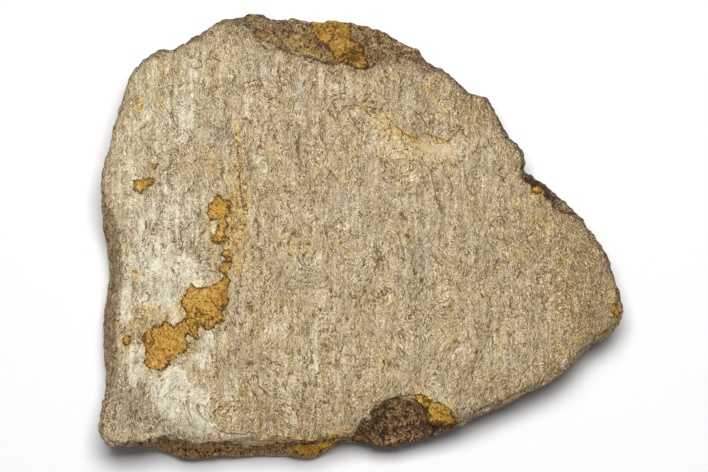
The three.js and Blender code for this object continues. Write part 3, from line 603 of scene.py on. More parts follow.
def shapeMasks(points, normals):
    x, y, z = points.T
    y = y - (slab["level"] - z) * slab["slant"]
    masks = {"x": x, "y": y}
    upward = normals[:, 2]
    masks["under"] = ramp(-upward, 0.5, 0.8) * (1 - ramp(z, 4, 7))
    masks["side"] = (1 - ramp(upward, 0.45, 0.8)) * (1 - masks["under"])
    # painted shade along the edges: the bone is made darker and browner there, most at the back and the
    # right
    edge = np.flatnonzero((upward < 0.6) & (z > slab["level"] - 8))
    tree = KDTree(len(edge))
    for number, (px, py) in enumerate(points[edge, :2]):
        tree.insert((px, py, 0), number)
    tree.balance()
    found = [tree.find((px, py, 0)) for px, py in points[:, :2]]
    inward = np.array([spot[2] for spot in found])
    facing = normals[edge[[spot[1] for spot in found]]]
    backward = ramp(0.5 * facing[:, 0] + facing[:, 1], -0.2, 0.7)
    masks["rim"] = (1 - ramp(inward, 0.0, 4.5)) * (1 - masks["under"]) * (0.2 + 0.8 * backward)
    # painted shadow: a narrow dark band right at the back and right edges
    narrow = 1 - ramp(inward + 0.8 * waves(points / 3.1, 26), 0.0, 1.2)
    masks["brink"] = narrow * backward * (1 - masks["under"])
    footed = 1 - ramp(z + 2 * waves(points / 5.0, 28), 3, 8)
    masks["foot"] = (1 - ramp(upward, -0.02, 0.16)) * (1 - ramp(y, -66, -58)) * footed
    # near the front the skin of the bone rolls over the edge
    rolled = (1 - ramp(y, -70, -64)) * ramp(x, -62, -50) * (1 - ramp(x, -6, 0)) * ramp(z, 3, 6)
    rolled *= ramp(regionDistance(x, y, bareRegions["frontLedge"]), -0.4, 0.4)
    # painted light: where the rolled skin faces forward, away from the light, its colour is made paler
    masks["lip"] = rolled * (1 - ramp(upward, 0.7, 0.95)) * ramp(z, 9, 15)
    masks["side"] *= 1 - rolled
    level = ramp(y, -68, -62)
    upper = ramp(z, 1.5 + 3.5 * level, 4 + 6 * level) * ramp(upward, -0.4, 0.1)
    ragged = masks["side"] * (2.2 * waves(points / 7.0, 31) + 1.1 * waves(points / 3.0, 32))
    masks["crust"] = nearestOutline(x, y, crustPatches.values()) + 9 * (1 - upper) + 0.7 * ragged
    masks["darkCrust"] = filmShare(x, y, darkCrust) * ramp(z, 2 + 2 * level, 6 + 3 * level)
    masks["darkCrust"] *= 1 - masks["side"] * level * (1 - ramp(z + 4 * waves(points / 5.0, 35), 11, 19))
    masks["vein"], masks["veinNear"] = np.full(len(x), noLine), np.full(len(x), noLine)
    for line in crustVeins:
        markLine(masks, "vein", slice(None), *lineDistance(x, y, line)[:2])
    masks["rust"] = filmShare(x, y, rustStains) * upper
    masks["rust"] += 0.8 * masks["under"] * ramp(waves(points / 13.0, 34), 0.45, 0.95)
    thick = 1 - ramp(regionDistance(x, y, chalkPatch) + 0.8 * waves(points / 2.4, 25), -2.0, 1.0)
    masks["chalk"] = np.maximum(filmShare(x, y, chalkFilms), 0.95 * thick) * upper
    masks["tawny"] = filmShare(x, y, tawnyFilms)
    masks["bleach"] = filmShare(x, y, bleachFilms)
    masks["grey"] = filmShare(x, y, greyFilms) * upper
    masks["bed"] = nearestOutline(x, y, paleBeds.values())
    shaken = 1.1 * waves(points / 3.0, 10) + 0.5 * waves(points / 1.3, 18)
    broken, masks["brow"] = np.zeros(len(x)), np.zeros(len(x))
    for name, corners in bareRegions.items():
        blurred = 2.2 * ramp(x, 0, 12) if name == "backBreak" else 0.0
        beyond = regionDistance(x, y, corners) + shaken + ragged
        if name == "frontPocket":
            beyond += 1.3 * waves(points / 4.0, 33)
        if name == "rightChip":
            beyond += 3 * (1 - ramp(z + 2.5 * waves(points / 4.0, 27), 3, 8))
        masks[name] = 1 - ramp(beyond, -0.5 - blurred, 0.5 + 0.5 * blurred)
        broken = np.maximum(broken, masks[name])
        faint = 0.85 if name == "frontPocket" else 0.45 * blurred
        line = np.exp(-((beyond + 0.2) / 0.55) ** 2) * (1 - faint) * ramp(z, 6, 10)
        masks["brow"] = np.maximum(masks["brow"], line)
    # elsewhere the walls show spongy bone between the two dense outer plates
    core = masks["side"] * ramp(z, 2.5, 6.5) * (1 - ramp(z, 16.5, 21.5))
    core *= ramp(waves(points / 9.0, 19) + 0.5 * waves(points / 3.4, 20), -0.5, 0.25)
    masks["broken"] = np.maximum(broken, 0.5 * core) * (1 - masks["under"])
    # brown grime round the torn places
    grimy = (1 - ramp(nearestOutline(x, y, bareRegions.values()), 0.0, 4.0)) * upper
    masks["rim"] = np.maximum(masks["rim"], 0.8 * grimy * ramp(y, -70, -40))
    return masks


def boneRelief(points, masks):
    def swell(name, seed, at=points):
        spec = relief[name]
        return spec["height"] * waves(at / np.array(spec["swell"]), seed)

    x, y = masks["x"], masks["y"]
    # the grain wanders instead of running dead straight
    masks["lean"] = np.zeros(len(x))
    for cx, cy, rx, ry, lean in grainLeans:
        weight = 1 - ramp(np.hypot((x - cx) / rx, (y - cy) / ry), 0.25, 1.3)
        masks["lean"] -= lean * (y - cy) * weight
    drift = 1.6 * waves(points / np.array((13.0, 22.0, 13.0)), 21) + masks["lean"]
    bent = points + np.stack([drift, 0 * drift, 0 * drift], axis=1)
    furrow = swell("furrow", 3, bent)
    ridges = swell("grain", 4, bent)
    smooth = 1 - 0.5 * masks["chalk"]
    height = (furrow + ridges) * smooth + swell("lump", 5)
    # long pits in patches
    pit = relief["pit"]
    gap, number = scatter(bent / np.array(pit["cell"]), 6)
    patchy = ramp(waves(points / 19.0, 7), -0.35, 0.35) * smooth
    holes = (number < pit["share"]) * (1 - ramp(gap, 0.4 * pit["size"], 1.5 * pit["size"]))
    height -= pit["depth"] * holes * patchy
    # painted shade in the pits and along the low grain, coloured brown later
    masks["hollow"] = np.maximum(holes, 0.5 * ramp(-ridges, 0.06, 0.18)) * patchy
    # torn layers
    masks["seam"], masks["seamNear"] = np.full(len(x), noLine), np.full(len(x), noLine)
    for i, (drop, path) in enumerate(flakeEdges):
        wavered = x + 0.8 * waves(points / 2.6, 30 + i), y + 0.8 * waves(points / 2.9, 50 + i)
        gap, side, reached = lineDistance(*wavered, path)
        ends = ramp(reached, 0.0, 0.12) * (1 - ramp(reached, 0.88, 1.0))
        higher = side * math.copysign(1, drop)
        fall = ramp(gap * higher, -0.6, 0.6)
        reach = 1 - ramp(gap, 1.0, 8.0)
        height += abs(drop) * (fall - 0.5) * reach * ends
        # its dark line is painted shadow under the flake's edge
        markLine(masks, "seam", slice(None), gap * 1.5, higher, 2.5 * (1 - ends) + 0.9 - abs(drop))
    # grooves and cracks
    shakenX = x + 0.5 * waves(points / 1.7, 70) + 1.1 * waves(points / 5.5, 72)
    shakenY = y + 0.5 * waves(points / 1.7, 71) + 1.1 * waves(points / 5.5, 73)
    for width, depth, path in grooves + strewnCracks(looseCracks):
        spread = np.array(path)
        reach = 4 * width + 1
        low, high = spread.min(axis=0) - reach, spread.max(axis=0) + reach
        near = np.flatnonzero((x > low[0]) & (x < high[0]) & (y > low[1]) & (y < high[1]))
        gap, side, reached = lineDistance(shakenX[near], shakenY[near], path)
        ends = ramp(reached, 0.0, 0.2) * (1 - ramp(reached, 0.8, 1.0))
        away = gap / max(width, 0.45)
        faint = 1 - ramp(waves(points[near] / (2.2, 3.4, 2.2), 74), -0.25, 0.25)
        height[near] -= depth * np.exp(-away ** 2) * (0.3 + 0.7 * ends) * (1 - 0.6 * faint)
        if width < 1.5:
            extra = 2.0 * (1 - ends) + 0.8 * faint
            markLine(masks, "seam", near, gap * 0.35 / min(width, 0.38), side, extra)
    # the crust stands a little proud, with a lumpy edge
    raised = 1 - ramp(masks["crust"] + 0.5 * waves(points / 1.7, 8), -0.5, 0.5)
    height += relief["crust"] * raised * (0.8 + 0.4 * waves(points / 2.4, 9))
    # spongy bone where it is broken
    pore = relief["pore"]
    gap, number = scatter(points / np.array(pore["cell"]), 11)
    sponge = (number < pore["share"]) * (1 - ramp(gap, 0.5 * pore["size"], 1.3 * pore["size"]))
    crumbs = swell("crumb", 12) + 0.5 * relief["crumb"]["height"] * waves(points / 1.5, 13)
    crumbs -= pore["depth"] * sponge * (0.35 + 0.65 * ramp(waves(points / 8.0, 14), -0.4, 0.3))
    crumbs += swell("layer", 15) * masks["side"]
    strands = swell("strand", 23, bent) + 0.4 * crumbs
    sheets = swell("sheet", 24) + 0.4 * crumbs
    crumbs += (strands - crumbs) * masks["frontPocket"]
    crumbs += (sheets - crumbs) * masks["frontLedge"]
    rough = np.maximum(masks["broken"], 0.7 * masks["side"])
    height = height * (1 - rough) + crumbs * rough
    # nothing sticks out underneath, where the slab rests
    beneath = -np.abs(0.5 * furrow + 0.5 * swell("lump", 16)) - 0.5 * relief["pit"]["depth"] * holes
    beneath *= ramp(points[:, 2], 0.02, 0.5)
    return height * (1 - masks["under"]) + beneath * masks["under"]


boneMarks = ("crust", "darkCrust", "vein", "veinNear", "rust", "chalk", "tawny", "bleach", "grey", "bed",
             "seam", "seamNear", "hollow", "broken", "frontPocket", "frontLedge", "rim", "brink", "side",
             "foot", "lip", "brow", "lean")


def carveSlab(piece):
    mesh = piece.data
    points = vertexArray(mesh, "co") / mm
    normals = vertexArray(mesh, "normal")
    masks = shapeMasks(points, normals)
    height = boneRelief(points, masks)
    points += normals * height[:, None]
    low, high = (np.array(corner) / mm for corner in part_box("frill_section"))
    margin = slab["margin"]
    points = np.clip(points, low + margin, high - margin)
    points[:, 2] = np.maximum(points[:, 2], margin)
    mesh.vertices.foreach_set("co", (points * mm).ravel())
    mesh.polygons.foreach_set("use_smooth", np.ones(len(mesh.polygons), bool))
    for name in boneMarks:
        layer = mesh.attributes.new(name, "FLOAT", "POINT")
        layer.data.foreach_set("value", masks[name].astype(np.float32))
    mesh.update()


# Where the two faces and the walls, cut into strips, lie on the baked picture.
bakeMap = {
    "upper": {"corner": (0.01, 0.01), "perMm": 0.0044},
    "under": {"corner": (0.01, 0.705), "perMm": 0.00185},
    "side": {"corner": (0.36, 0.705), "perMm": 0.0033, "strips": 3, "rise": 0.097},
    "steep": 0.4,  # a face whose normal rises or falls less than this is wall
    "bins": 360,
}


def flattenSlab(piece):
    mesh = piece.data
    points = vertexArray(mesh, "co") / mm
    low = points.min(axis=0)
    corners = np.zeros(len(mesh.loops), int)
    mesh.loops.foreach_get("vertex_index", corners)
    starts = np.zeros(len(mesh.polygons), int)
    counts = np.zeros(len(mesh.polygons), int)
    mesh.polygons.foreach_get("loop_start", starts)
    mesh.polygons.foreach_get("loop_total", counts)
    faceOf = np.repeat(np.arange(len(counts)), counts)
    normals = np.zeros(len(counts) * 3)
    mesh.polygons.foreach_get("normal", normals)
    upward = normals.reshape(-1, 3)[:, 2][faceOf]
    # how far round the outline each point lies
    turn = np.arctan2(points[:, 1], points[:, 0])
    bins = bakeMap["bins"]
    place = ((turn + math.pi) / (2 * math.pi) * bins).astype(int) % bins
    reach = np.zeros(bins)
    np.maximum.at(reach, place, np.hypot(points[:, 0], points[:, 1]))
    angles = (np.arange(bins) + 0.5) / bins * 2 * math.pi - math.pi
    ring = np.stack([reach * np.cos(angles), reach * np.sin(angles)], axis=1)
    steps = np.linalg.norm(ring - np.roll(ring, 1, axis=0), axis=1)
    length = steps.sum()
    around = np.interp(turn, angles, np.cumsum(steps), period=2 * math.pi)
    # a face that spans the seam stays in one piece
    first = around[corners[starts]][faceOf]
    own = first + (around[corners] - first + length / 2) % length - length / 2
    side = bakeMap["side"]
    stripLength = length / side["strips"]
    strip = np.floor(first / stripLength)
    u = side["corner"][0] + (own - strip * stripLength) * side["perMm"]
    v = side["corner"][1] + strip * side["rise"] + points[corners][:, 2] * side["perMm"]
    steep = bakeMap["steep"]
    for name, chosen in (("upper", upward > steep), ("under", upward < -steep)):
        spec = bakeMap[name]
        spot = (points[corners][:, :2] - low[:2]) * spec["perMm"] + np.array(spec["corner"])
        u = np.where(chosen, spot[:, 0], u)
        v = np.where(chosen, spot[:, 1], v)
    layer = mesh.uv_layers.new(name="OFBake")
    layer.data.foreach_set("uv", np.stack([u, v], axis=1).ravel())


class NodeSheet:
    # places and wires shader nodes
    def __init__(self, tree):
        self.tree = tree
        self.column = 0

    def add(self, kind, **settings):
        node = self.tree.nodes.new(kind)
        node.location = (self.column * 190, -(len(self.tree.nodes) % 7) * 190)
        self.column += 1
        for name, value in settings.items():
            setattr(node, name, value)
        return node

    def wire(self, source, target):
        self.tree.links.new(source, target)

    def put(self, socket, value):
        if isinstance(value, bpy.types.NodeSocket):
            self.wire(value, socket)
        else:
            socket.default_value = value

    def math(self, operation, *values, clamp=False):
        node = self.add("ShaderNodeMath", operation=operation, use_clamp=clamp)
        for socket, value in zip(node.inputs, values):
            self.put(socket, value)
        return node.outputs[0]

    def share(self, value, amount):
        return self.math("MULTIPLY", value, amount)

    # a value that a noise pushes either way
    def shaken(self, value, noise, amount):
        return self.math("MULTIPLY_ADD", self.math("SUBTRACT", noise, 0.5), amount, value)

    def fade(self, value, low, high, fromZero=0.0, toOne=1.0):
        node = self.add("ShaderNodeMapRange", interpolation_type="SMOOTHSTEP")
        for socket, number in zip(node.inputs, (value, low, high, fromZero, toOne)):
            self.put(socket, number)
        return node.outputs[0]

    def mix(self, share, first, second, blend="MIX"):
        node = self.add("ShaderNodeMix", data_type="RGBA", blend_type=blend)
        self.put(node.inputs[0], share)
        self.put(node.inputs[6], first)
        self.put(node.inputs[7], second)
        return node.outputs[2]

    def vector(self, operation, first, second):
        node = self.add("ShaderNodeVectorMath", operation=operation)
        self.put(node.inputs[0], first)
        self.put(node.inputs[1], second)
        return node.outputs[0]

    def noise(self, vector, scale, detail=2.0, rough=0.55):
        node = self.add("ShaderNodeTexNoise")
        self.put(node.inputs["Vector"], vector)
        self.put(node.inputs["Scale"], scale)
        node.inputs["Detail"].default_value = detail
        node.inputs["Roughness"].default_value = rough
        return node

    def cells(self, vector, scale):
        node = self.add("ShaderNodeTexVoronoi")
        self.put(node.inputs["Vector"], vector)
        self.put(node.inputs["Scale"], scale)
        return node

    def attribute(self, name):
        return self.add("ShaderNodeAttribute", attribute_name=name).outputs["Fac"]


# The woven grain of the bone, in millimetres: a height, dark gaps, pale ridges and black pores.
def boneGrainGroup():
    group = bpy.data.node_groups.new("boneGrain", "ShaderNodeTree")
    face = group.interface
    face.new_socket("Place", in_out="INPUT", socket_type="NodeSocketVector")
    for name in ("Width", "Length", "Depth", "Wander"):
        face.new_socket(name, in_out="INPUT", socket_type="NodeSocketFloat")
    for name in ("Height", "Gap", "Ridge", "Pore", "Thread"):
        face.new_socket(name, in_out="OUTPUT", socket_type="NodeSocketFloat")
    sheet = NodeSheet(group)
    given = sheet.add("NodeGroupInput")
    place = given.outputs["Place"]

    def shifted(noise, amount):
        centred = sheet.vector("SUBTRACT", noise.outputs["Color"], (0.5, 0.5, 0.5))
        node = sheet.add("ShaderNodeVectorMath", operation="SCALE")
        sheet.wire(centred, node.inputs[0])
        sheet.put(node.inputs["Scale"], amount)
        return node.outputs[0]

    slow = shifted(sheet.noise(place, 0.075, 1.0), sheet.math("MULTIPLY", given.outputs["Wander"], 14.0))
    quick = shifted(sheet.noise(place, 0.75, 1.0), given.outputs["Wander"])
    bent = sheet.vector("ADD", sheet.vector("ADD", place, slow), quick)
    stretch = sheet.add("ShaderNodeCombineXYZ")
    for socket, name in zip(stretch.inputs, ("Width", "Length", "Depth")):
        sheet.wire(sheet.math("DIVIDE", 1.0, given.outputs[name]), socket)
    grainPlace = sheet.vector("MULTIPLY", bent, stretch.outputs[0])
    fibre = sheet.noise(grainPlace, 1.0, 2.0, 0.65).outputs["Fac"]
    strand = sheet.noise(grainPlace, 0.38, 1.0, 0.5).outputs["Fac"]
    woven = sheet.math("MULTIPLY_ADD", strand, 0.12, sheet.math("MULTIPLY", fibre, 0.95))
    woven = sheet.math("SUBTRACT", woven, 0.035)
    # thin wavy lines between the strands, broken up
    curl = sheet.noise(grainPlace, 0.47, 1.0, 0.5)
    thread = sheet.math("ABSOLUTE", sheet.math("SUBTRACT", curl.outputs["Fac"], 0.5))
    web = sheet.math("MULTIPLY", sheet.fade(thread, 0.04, 0.012), sheet.fade(strand, 0.56, 0.42))
    specks = sheet.cells(grainPlace, 0.5)
    apart = sheet.add("ShaderNodeSeparateColor")
    sheet.wire(specks.outputs["Color"], apart.inputs[0])
    chosen = sheet.math("LESS_THAN", apart.outputs[0], 0.3)
    size = sheet.math("MULTIPLY_ADD", apart.outputs[1], 0.16, 0.12)
    away = sheet.math("DIVIDE", specks.outputs["Distance"], size)
    hole = sheet.math("SUBTRACT", 1.0, sheet.fade(away, 0.5, 1.4))
    pore = sheet.math("MULTIPLY", hole, chosen)
    height = sheet.math("MULTIPLY_ADD", web, -0.25, sheet.math("MULTIPLY_ADD", pore, -0.35, woven))
    out = sheet.add("NodeGroupOutput")
    sheet.wire(height, out.inputs["Height"])
    sheet.wire(sheet.math("MAXIMUM", sheet.fade(woven, 0.435, 0.36), web), out.inputs["Gap"])
    sheet.wire(sheet.fade(woven, 0.54, 0.63), out.inputs["Ridge"])
    sheet.wire(pore, out.inputs["Pore"])
    sheet.wire(web, out.inputs["Thread"])
    return group


boneLook = {
    "tan": (0.400, 0.313, 0.190),
    "warmTan": (0.435, 0.320, 0.152),
    "greyTan": (0.340, 0.286, 0.190),
    "rosyTan": (0.470, 0.343, 0.212),
    "olive": (0.330, 0.264, 0.112),
    "cream": (0.86, 0.75, 0.54),
    "gap": (0.066, 0.030, 0.003),
    "pore": (0.026, 0.012, 0.003),
    "chalk": (0.69, 0.64, 0.49),
    "coolChalk": (0.51, 0.47, 0.36),
    "bed": (0.54, 0.41, 0.215),
    "umber": (0.19, 0.125, 0.056),
    "drab": (0.20, 0.165, 0.115),
    "tawny": (0.66, 0.57, 0.38),
    "bleach": (1.12, 1.17, 1.17),
    # painted shadow at the back and right edges
    "brink": (0.060, 0.036, 0.018),
    "paleRust": (0.52, 0.355, 0.108),
    "rust": (0.30, 0.135, 0.024),
    "ochre": (0.48, 0.265, 0.042),
    "deepOchre": (0.35, 0.165, 0.022),
    "crustBrown": (0.20, 0.080, 0.014),
    "paleOchre": (0.58, 0.41, 0.125),
    # crust on the walls, made brighter: painted light
    "wallOchrePaintedLight": (1.0, 0.52, 0.035),
    "gold": (0.66, 0.42, 0.085),
    "crustEdge": (0.072, 0.026, 0.004),
    # the walls' browner tone, made paler too: partly painted light
    "wall": (0.49, 0.325, 0.145),
    # brown for painted shade in the hollows, also for the dark curls in the grain
    "hollow": (0.135, 0.066, 0.016),
    "pocket": (0.87, 0.76, 0.71),
    # above one: painted light on the rolled front edge
    "lip": (1.85, 1.63, 1.16),
    "broken": (0.185, 0.105, 0.042),
    "brokenGrey": (0.275, 0.170, 0.080),
    "brokenPale": (0.57, 0.42, 0.20),
    "brokenDark": (0.024, 0.013, 0.007),
    "ledge": (0.50, 0.26, 0.080),
    "ledgePale": (0.80, 0.52, 0.19),
    "footPale": (0.74, 0.60, 0.38),
    "lump": (0.42, 0.275, 0.080),
    "seam": (0.12, 0.056, 0.012),
    "fine": {"Width": 0.28, "Length": 0.68, "Depth": 0.7, "Wander": 0.7},
    "coarse": {"Width": 0.9, "Length": 3.4, "Depth": 1.6, "Wander": 1.4},
    "crumb": {"Width": 0.6, "Length": 0.9, "Depth": 3.2, "Wander": 0.5},
    "column": {"Width": 1.0, "Length": 5.0, "Depth": 5.0, "Wander": 0.8},
    "bump": 0.5,  # mm
}


def boneMaterial(grain):
    look = boneLook
    material = bpy.data.materials.new("fossilBone")
    material.use_nodes = True
    tree = material.node_tree
    tree.nodes.clear()
    sheet = NodeSheet(tree)
    fade, mix, share, shaken = sheet.fade, sheet.mix, sheet.share, sheet.shaken
    coords = sheet.add("ShaderNodeTexCoord")
    place = sheet.vector("MULTIPLY", coords.outputs["Object"], (1 / mm, 1 / mm, 1 / mm))

    mark = {name: sheet.attribute(name) for name in boneMarks}
    sideways = sheet.add("ShaderNodeCombineXYZ")
    sheet.wire(mark["lean"], sideways.inputs[0])
    leaning = sheet.vector("ADD", place, sideways.outputs[0])

    def grained(name):
        node = sheet.add("ShaderNodeGroup", node_tree=grain)
        sheet.wire(leaning, node.inputs["Place"])
        for socket, value in look[name].items():
            node.inputs[socket].default_value = value
        return node.outputs

    # noise drawn out along the grain
    def stretched(across, along, detail, rough, scale=1.0):
        drawnOut = sheet.vector("MULTIPLY", place, (across, along, across))
        return sheet.noise(drawnOut, scale, detail, rough).outputs["Fac"]

    def tone(name):
        return (*look[name], 1)

    def coat(under, name, amount, most=1):
        return mix(amount if most == 1 else share(amount, most), under, tone(name))

    def tinted(under, name, amount):
        return mix(amount, under, tone(name), "MULTIPLY")

    fine, coarse, crumb, column = (grained(name) for name in ("fine", "coarse", "crumb", "column"))

    # plain bone, blotched
    tint = sheet.noise(place, 0.055, 4.0, 0.6).outputs["Fac"]
    blotch = stretched(0.19, 0.11, 3.0, 0.6)
    freckle = sheet.noise(place, 0.5, 2.0, 0.6).outputs["Fac"]
    streak = stretched(0.9, 0.06, 2.0, 0.55)
    colour = mix(fade(tint, 0.38, 0.62), tone("greyTan"), tone("warmTan"))
    colour = coat(colour, "tan", fade(blotch, 0.35, 0.65))
    mottle = stretched(0.42, 0.26, 2.0, 0.6)
    colour = coat(colour, "rosyTan", fade(mottle, 0.5, 0.66), 0.75)
    colour = coat(colour, "olive", fade(mottle, 0.47, 0.33), 0.75)
    colour = coat(colour, "chalk", fade(streak, 0.5, 0.66), 0.30)
    colour = coat(colour, "umber", fade(streak, 0.5, 0.36), 0.30)
    seep = stretched(0.55, 0.12, 3.0, 0.6)
    seeping = share(fade(seep, 0.54, 0.68), sheet.math("MULTIPLY_ADD", mark["tawny"], 0.5, 0.25))
    colour = coat(colour, "paleRust", seeping)
    colour = tinted(colour, "tawny", mark["tawny"])
    colour = tinted(colour, "bleach", mark["bleach"])

    # chalk and grey films
    uneven = shaken(mark["chalk"], blotch, 1.1)
    uneven = shaken(uneven, streak, 0.9)
    film = fade(sheet.math("MULTIPLY_ADD", fine["Ridge"], 0.15, uneven), 0.1, 0.8)
    film = share(film, fade(mark["chalk"], 0.02, 0.3))
    chalky = mix(fade(mottle, 0.42, 0.58), tone("coolChalk"), tone("chalk"))
    colour = mix(share(film, 0.9), colour, chalky)
    colour = coat(colour, "drab", mark["grey"], 0.6)
    # painted shade along the edges, together with the brown grime round the torn places
    colour = coat(colour, "umber", mark["rim"], 0.5)
    # the walls' own browner colour, also made paler: painted light for the dim steep faces
    colour = coat(colour, "wall", mark["side"], 0.5)
    # painted shadow: a dark line right at the edge
    colour = coat(colour, "brink", mark["brink"], 0.75)
    # painted light: the rolled front edge is made paler than its own colour
    colour = tinted(colour, "lip", mark["lip"])

    # smooth layers that a flake has left bare
    inBed = fade(shaken(mark["bed"], freckle, 3.0), 0.7, -0.7)
    colour = coat(colour, "bed", inBed, 0.75)

    # rust soaked in
    soaked = shaken(mark["rust"], blotch, 0.9)
    soaked = shaken(soaked, freckle, 0.9)
    soaked = share(fade(soaked, 0.08, 0.85), fade(mark["rust"], 0.02, 0.25))
    colour = coat(colour, "paleRust", soaked, 0.75)
    lobes = sheet.noise(place, 0.8, 3.0, 0.6).outputs["Fac"]
    colour = coat(colour, "rust", fade(shaken(mark["rust"], lobes, 2.4), 0.88, 1.06), 0.85)

    # a faint rusty glow round the crust
    halo = share(fade(mark["crust"], 3.4, 0.4), fade(freckle, 0.36, 0.6))
    colour = coat(colour, "paleRust", halo, 0.45)

    # painted shade in the hollows, in brown
    nibble = sheet.noise(place, 2.1, 1.0, 0.5).outputs["Fac"]
    colour = coat(colour, "hollow", fade(shaken(mark["hollow"], nibble, 1.2), 0.3, 0.75), 0.8)

    # grain: cream on the ridges and dark brown in the gaps, partly the grain's own colour, partly painted
    # highlight and painted shade on its fine relief
    patch = stretched(0.19, 0.11, 1.0, 0.55, 1.7)
    quiet = sheet.math("MULTIPLY_ADD", film, -0.3, fade(patch, 0.38, 0.6, 0.55, 1.1))
    colour = coat(colour, "cream", fine["Ridge"], 0.70)
    gap = sheet.math("MULTIPLY_ADD", coarse["Gap"], 0.10, share(fine["Gap"], 0.92), clamp=True)
    colour = coat(colour, "gap", share(gap, quiet))
    curls = sheet.math("MAXIMUM", share(coarse["Thread"], 0.8), share(crumb["Thread"], 0.55))
    curls = share(curls, fade(patch, 0.40, 0.58, 0.2, 1.0))
    colour = coat(colour, "hollow", curls)
    colour = coat(colour, "gap", coarse["Pore"], 0.55)
    colour = coat(colour, "pore", share(fine["Pore"], fade(patch, 0.42, 0.56, 0.15, 0.9)))
    dots = sheet.math("MAXIMUM", crumb["Pore"], share(crumb["Gap"], 0.75))
    colour = coat(colour, "brokenDark", share(dots, share(mark["side"], 0.75)))

    # broken, spongy bone
    raw = mix(fade(mottle, 0.46, 0.6), tone("broken"), tone("brokenGrey"))
    raw = coat(raw, "ledge", mark["frontLedge"], 0.85)
    paleGrit = mix(mark["frontLedge"], tone("brokenPale"), tone("ledgePale"))
    raw = mix(share(fade(freckle, 0.5, 0.68), 0.6), raw, paleGrit)
    raw = coat(raw, "lump", inBed, 0.85)
    raw = mix(share(crumb["Ridge"], 0.6), raw, paleGrit)
    raw = mix(share(fine["Ridge"], 0.7), raw, paleGrit)
    raw = coat(raw, "footPale", mark["foot"], 0.7)
    # painted shade where the broken bone lies deep, and thick dark crust
    raw = coat(raw, "brokenDark", fade(shaken(mark["darkCrust"], lobes, 2.0), 0.35, 0.9), 0.85)
    raw = coat(raw, "brokenDark", crumb["Gap"])
    raw = coat(raw, "brokenDark", fine["Gap"], 0.8)
    raw = coat(raw, "pore", crumb["Pore"], 0.9)
    pillar = share(column["Gap"], share(mark["frontPocket"], 0.75))
    raw = coat(raw, "brokenDark", pillar)
    raw = tinted(raw, "pocket", mark["frontPocket"])
    raw = coat(raw, "rust", mark["rust"], 0.4)
    bare = fade(shaken(mark["broken"], freckle, 0.7), 0.3, 0.7)
    colour = mix(bare, colour, raw)

    # a dotted dark line where the skin ends: a crack, and painted shadow under the skin's edge
    dotted = share(mark["brow"], fade(nibble, 0.36, 0.5, 0.3, 1.0))
    colour = coat(colour, "brokenDark", dotted, 0.8)

    # seams and cracks: dark lines, painted shadow under the flake edges and dark cracks
    jagged = shaken(mark["seam"], freckle, 0.9)
    jagged = shaken(jagged, nibble, 0.9)
    line = fade(sheet.math("ABSOLUTE", jagged), 0.36, 0.10)
    line = share(line, fade(mark["seamNear"], 1.5, 0.7))
    line = share(line, fade(nibble, 0.36, 0.52, 0.35, 1.0))
    line = share(line, sheet.math("MULTIPLY_ADD", film, -0.7, 1.0))
    colour = coat(colour, "seam", line, 0.75)
    # painted highlight: a pale line on the higher side of each flake edge, in the colour of the bare layer
    lip = share(fade(jagged, 0.4, 0.75), fade(jagged, 1.6, 1.0))
    lip = share(lip, fade(mark["seamNear"], 1.7, 1.1))
    colour = coat(colour, "bed", lip, 0.4)

    # iron crust with a dark brown outline
    edge = shaken(mark["crust"], lobes, 2.0)
    edge = shaken(edge, nibble, 1.1)
    inside = fade(edge, 0.12, -0.12)
    ochre = mix(fade(blotch, 0.35, 0.7), tone("ochre"), tone("deepOchre"))
    ochre = coat(ochre, "paleOchre", fade(freckle, 0.48, 0.64), 0.75)
    ochre = coat(ochre, "crustBrown", fade(lobes, 0.56, 0.66), 0.5)
    # painted light: the crust on the steep walls is made brighter
    ochre = coat(ochre, "wallOchrePaintedLight", mark["side"], 0.9)
    # gold on the crust's fine ridges: partly its own speckle, partly painted highlight
    ochre = coat(ochre, "gold", fine["Ridge"], 0.55)
    ochre = coat(ochre, "crustEdge", fine["Gap"], 0.85)
    ochre = coat(ochre, "crustEdge", fade(nibble, 0.63, 0.70))
    ochre = coat(ochre, "crustEdge", crumb["Pore"], 0.9)
    border = share(fade(edge, -1.5, -0.1), fade(lobes, 0.38, 0.55))
    ochre = coat(ochre, "crustBrown", border, 0.35)
    ochre = coat(ochre, "crustEdge", fade(shaken(mark["darkCrust"], lobes, 3.0), 0.5, 0.8), 0.8)
    vein = fade(sheet.math("ABSOLUTE", shaken(mark["vein"], lobes, 1.6)), 0.34, 0.1)
    vein = share(vein, fade(mark["veinNear"], 1.8, 1.0))
    ochre = coat(ochre, "crustEdge", vein, 0.9)
    colour = mix(inside, colour, ochre)
    outline = fade(sheet.math("ABSOLUTE", edge), 0.5, 0.18)
    outline = share(outline, fade(freckle, 0.38, 0.5, 0.15, 1.0))
    colour = coat(colour, "crustEdge", outline, 0.9)

    # relief too fine for the mesh
    height = sheet.math("MULTIPLY_ADD", coarse["Height"], 0.30, share(fine["Height"], 0.6))
    height = share(height, sheet.math("MULTIPLY_ADD", film, -0.3, 1.0))
    height = sheet.math("MULTIPLY_ADD", share(crumb["Height"], bare), 1.8, height)
    height = sheet.math("MULTIPLY_ADD", inside, 0.25, height)
    height = sheet.math("MULTIPLY_ADD", line, -0.35, height)
    bump = sheet.add("ShaderNodeBump")
    bump.inputs["Strength"].default_value = 1.0
    bump.inputs["Distance"].default_value = look["bump"] * mm
    sheet.wire(height, bump.inputs["Height"])

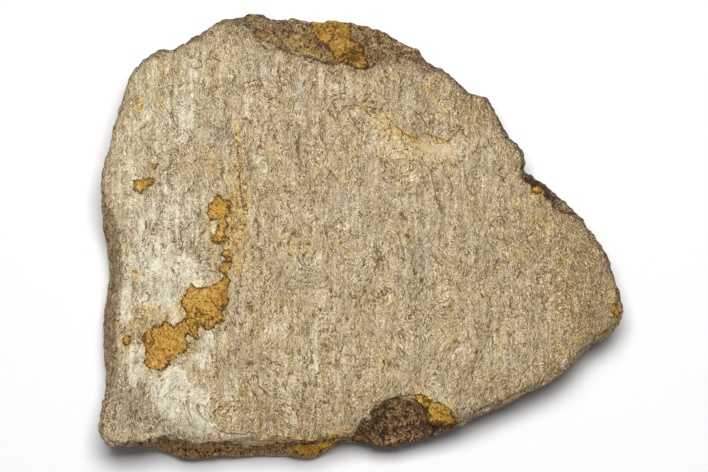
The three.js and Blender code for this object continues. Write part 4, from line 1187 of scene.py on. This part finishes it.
    shader = sheet.add("ShaderNodeBsdfPrincipled")
    sheet.wire(colour, shader.inputs["Base Color"])
    sheet.wire(bump.outputs[0], shader.inputs["Normal"])
    sheet.wire(sheet.math("MULTIPLY_ADD", fine["Height"], -0.25, 0.97), shader.inputs["Roughness"])
    shader.inputs["Specular IOR Level"].default_value = 0.2
    out = sheet.add("ShaderNodeOutputMaterial")
    sheet.wire(shader.outputs[0], out.inputs[0])
    return material


def floorMaterial():
    material = bpy.data.materials.new("paleFloor")
    material.use_nodes = True
    shader = material.node_tree.nodes["Principled BSDF"]
    shader.inputs["Base Color"].default_value = studioLight["floor"]
    shader.inputs["Roughness"].default_value = 0.8
    return material


def areaLight(name, spec):
    lamp = bpy.data.lights.new(name, "AREA")
    lamp.energy = spec["power"]
    lamp.shape = "RECTANGLE"
    lamp.size, lamp.size_y = spec["size"]
    holder = bpy.data.objects.new(name, lamp)
    holder.location = spec["at"]
    holder.rotation_euler = (-Vector(spec["at"])).to_track_quat("-Z", "Y").to_euler()
    bpy.context.scene.collection.objects.link(holder)


def studio():
    world = bpy.data.worlds.new("studioLight")
    bpy.context.scene.world = world
    world.use_nodes = True
    sky = world.node_tree.nodes["Background"]
    sky.inputs["Color"].default_value = (1, 1, 1, 1)
    sky.inputs["Strength"].default_value = studioLight["world"]
    areaLight("softBox", studioLight["softBox"])
    half = studioLight["floorHalf"]
    corners = [(-half, -half, 0), (half, -half, 0), (half, half, 0), (-half, half, 0)]
    mesh = bpy.data.meshes.new("paleFloor")
    mesh.from_pydata(corners, [], [(0, 1, 2, 3)])
    mesh.materials.append(floorMaterial())
    floor = bpy.data.objects.new("paleFloor", mesh)
    bpy.context.scene.collection.objects.link(floor)
    floor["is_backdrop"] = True


def camera():
    lens = bpy.data.cameras.new("view")
    lens.sensor_width = view["sensor"]
    lens.lens = view["lens"]
    lens.clip_start = 0.01
    lens.clip_end = 20
    holder = bpy.data.objects.new("view", lens)
    tilt = math.radians(view["elevation"])
    back = Vector((0, -math.cos(tilt), math.sin(tilt)))
    holder.location = Vector(view["aim"]) * mm + back * view["distance"]
    holder.rotation_euler = (-back).to_track_quat("-Z", "Y").to_euler()
    bpy.context.scene.collection.objects.link(holder)
    bpy.context.scene.camera = holder


camera()
studio()
bpy.context.scene.view_settings.view_transform = "Standard"
print("stage set")

bone = fineSlab()
print("fine mesh:", len(bone.data.polygons), "faces")
carveSlab(bone)
print("relief carved")
flattenSlab(bone)
print("bake map laid out")
bone.data.materials.append(boneMaterial(boneGrainGroup()))
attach(bone, "root")
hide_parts("frill_section")
print("bone dressed")

boxes = {"cad": cadBox, "visual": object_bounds()}
{name: [list(corner) for corner in box] for name, box in boxes.items()}
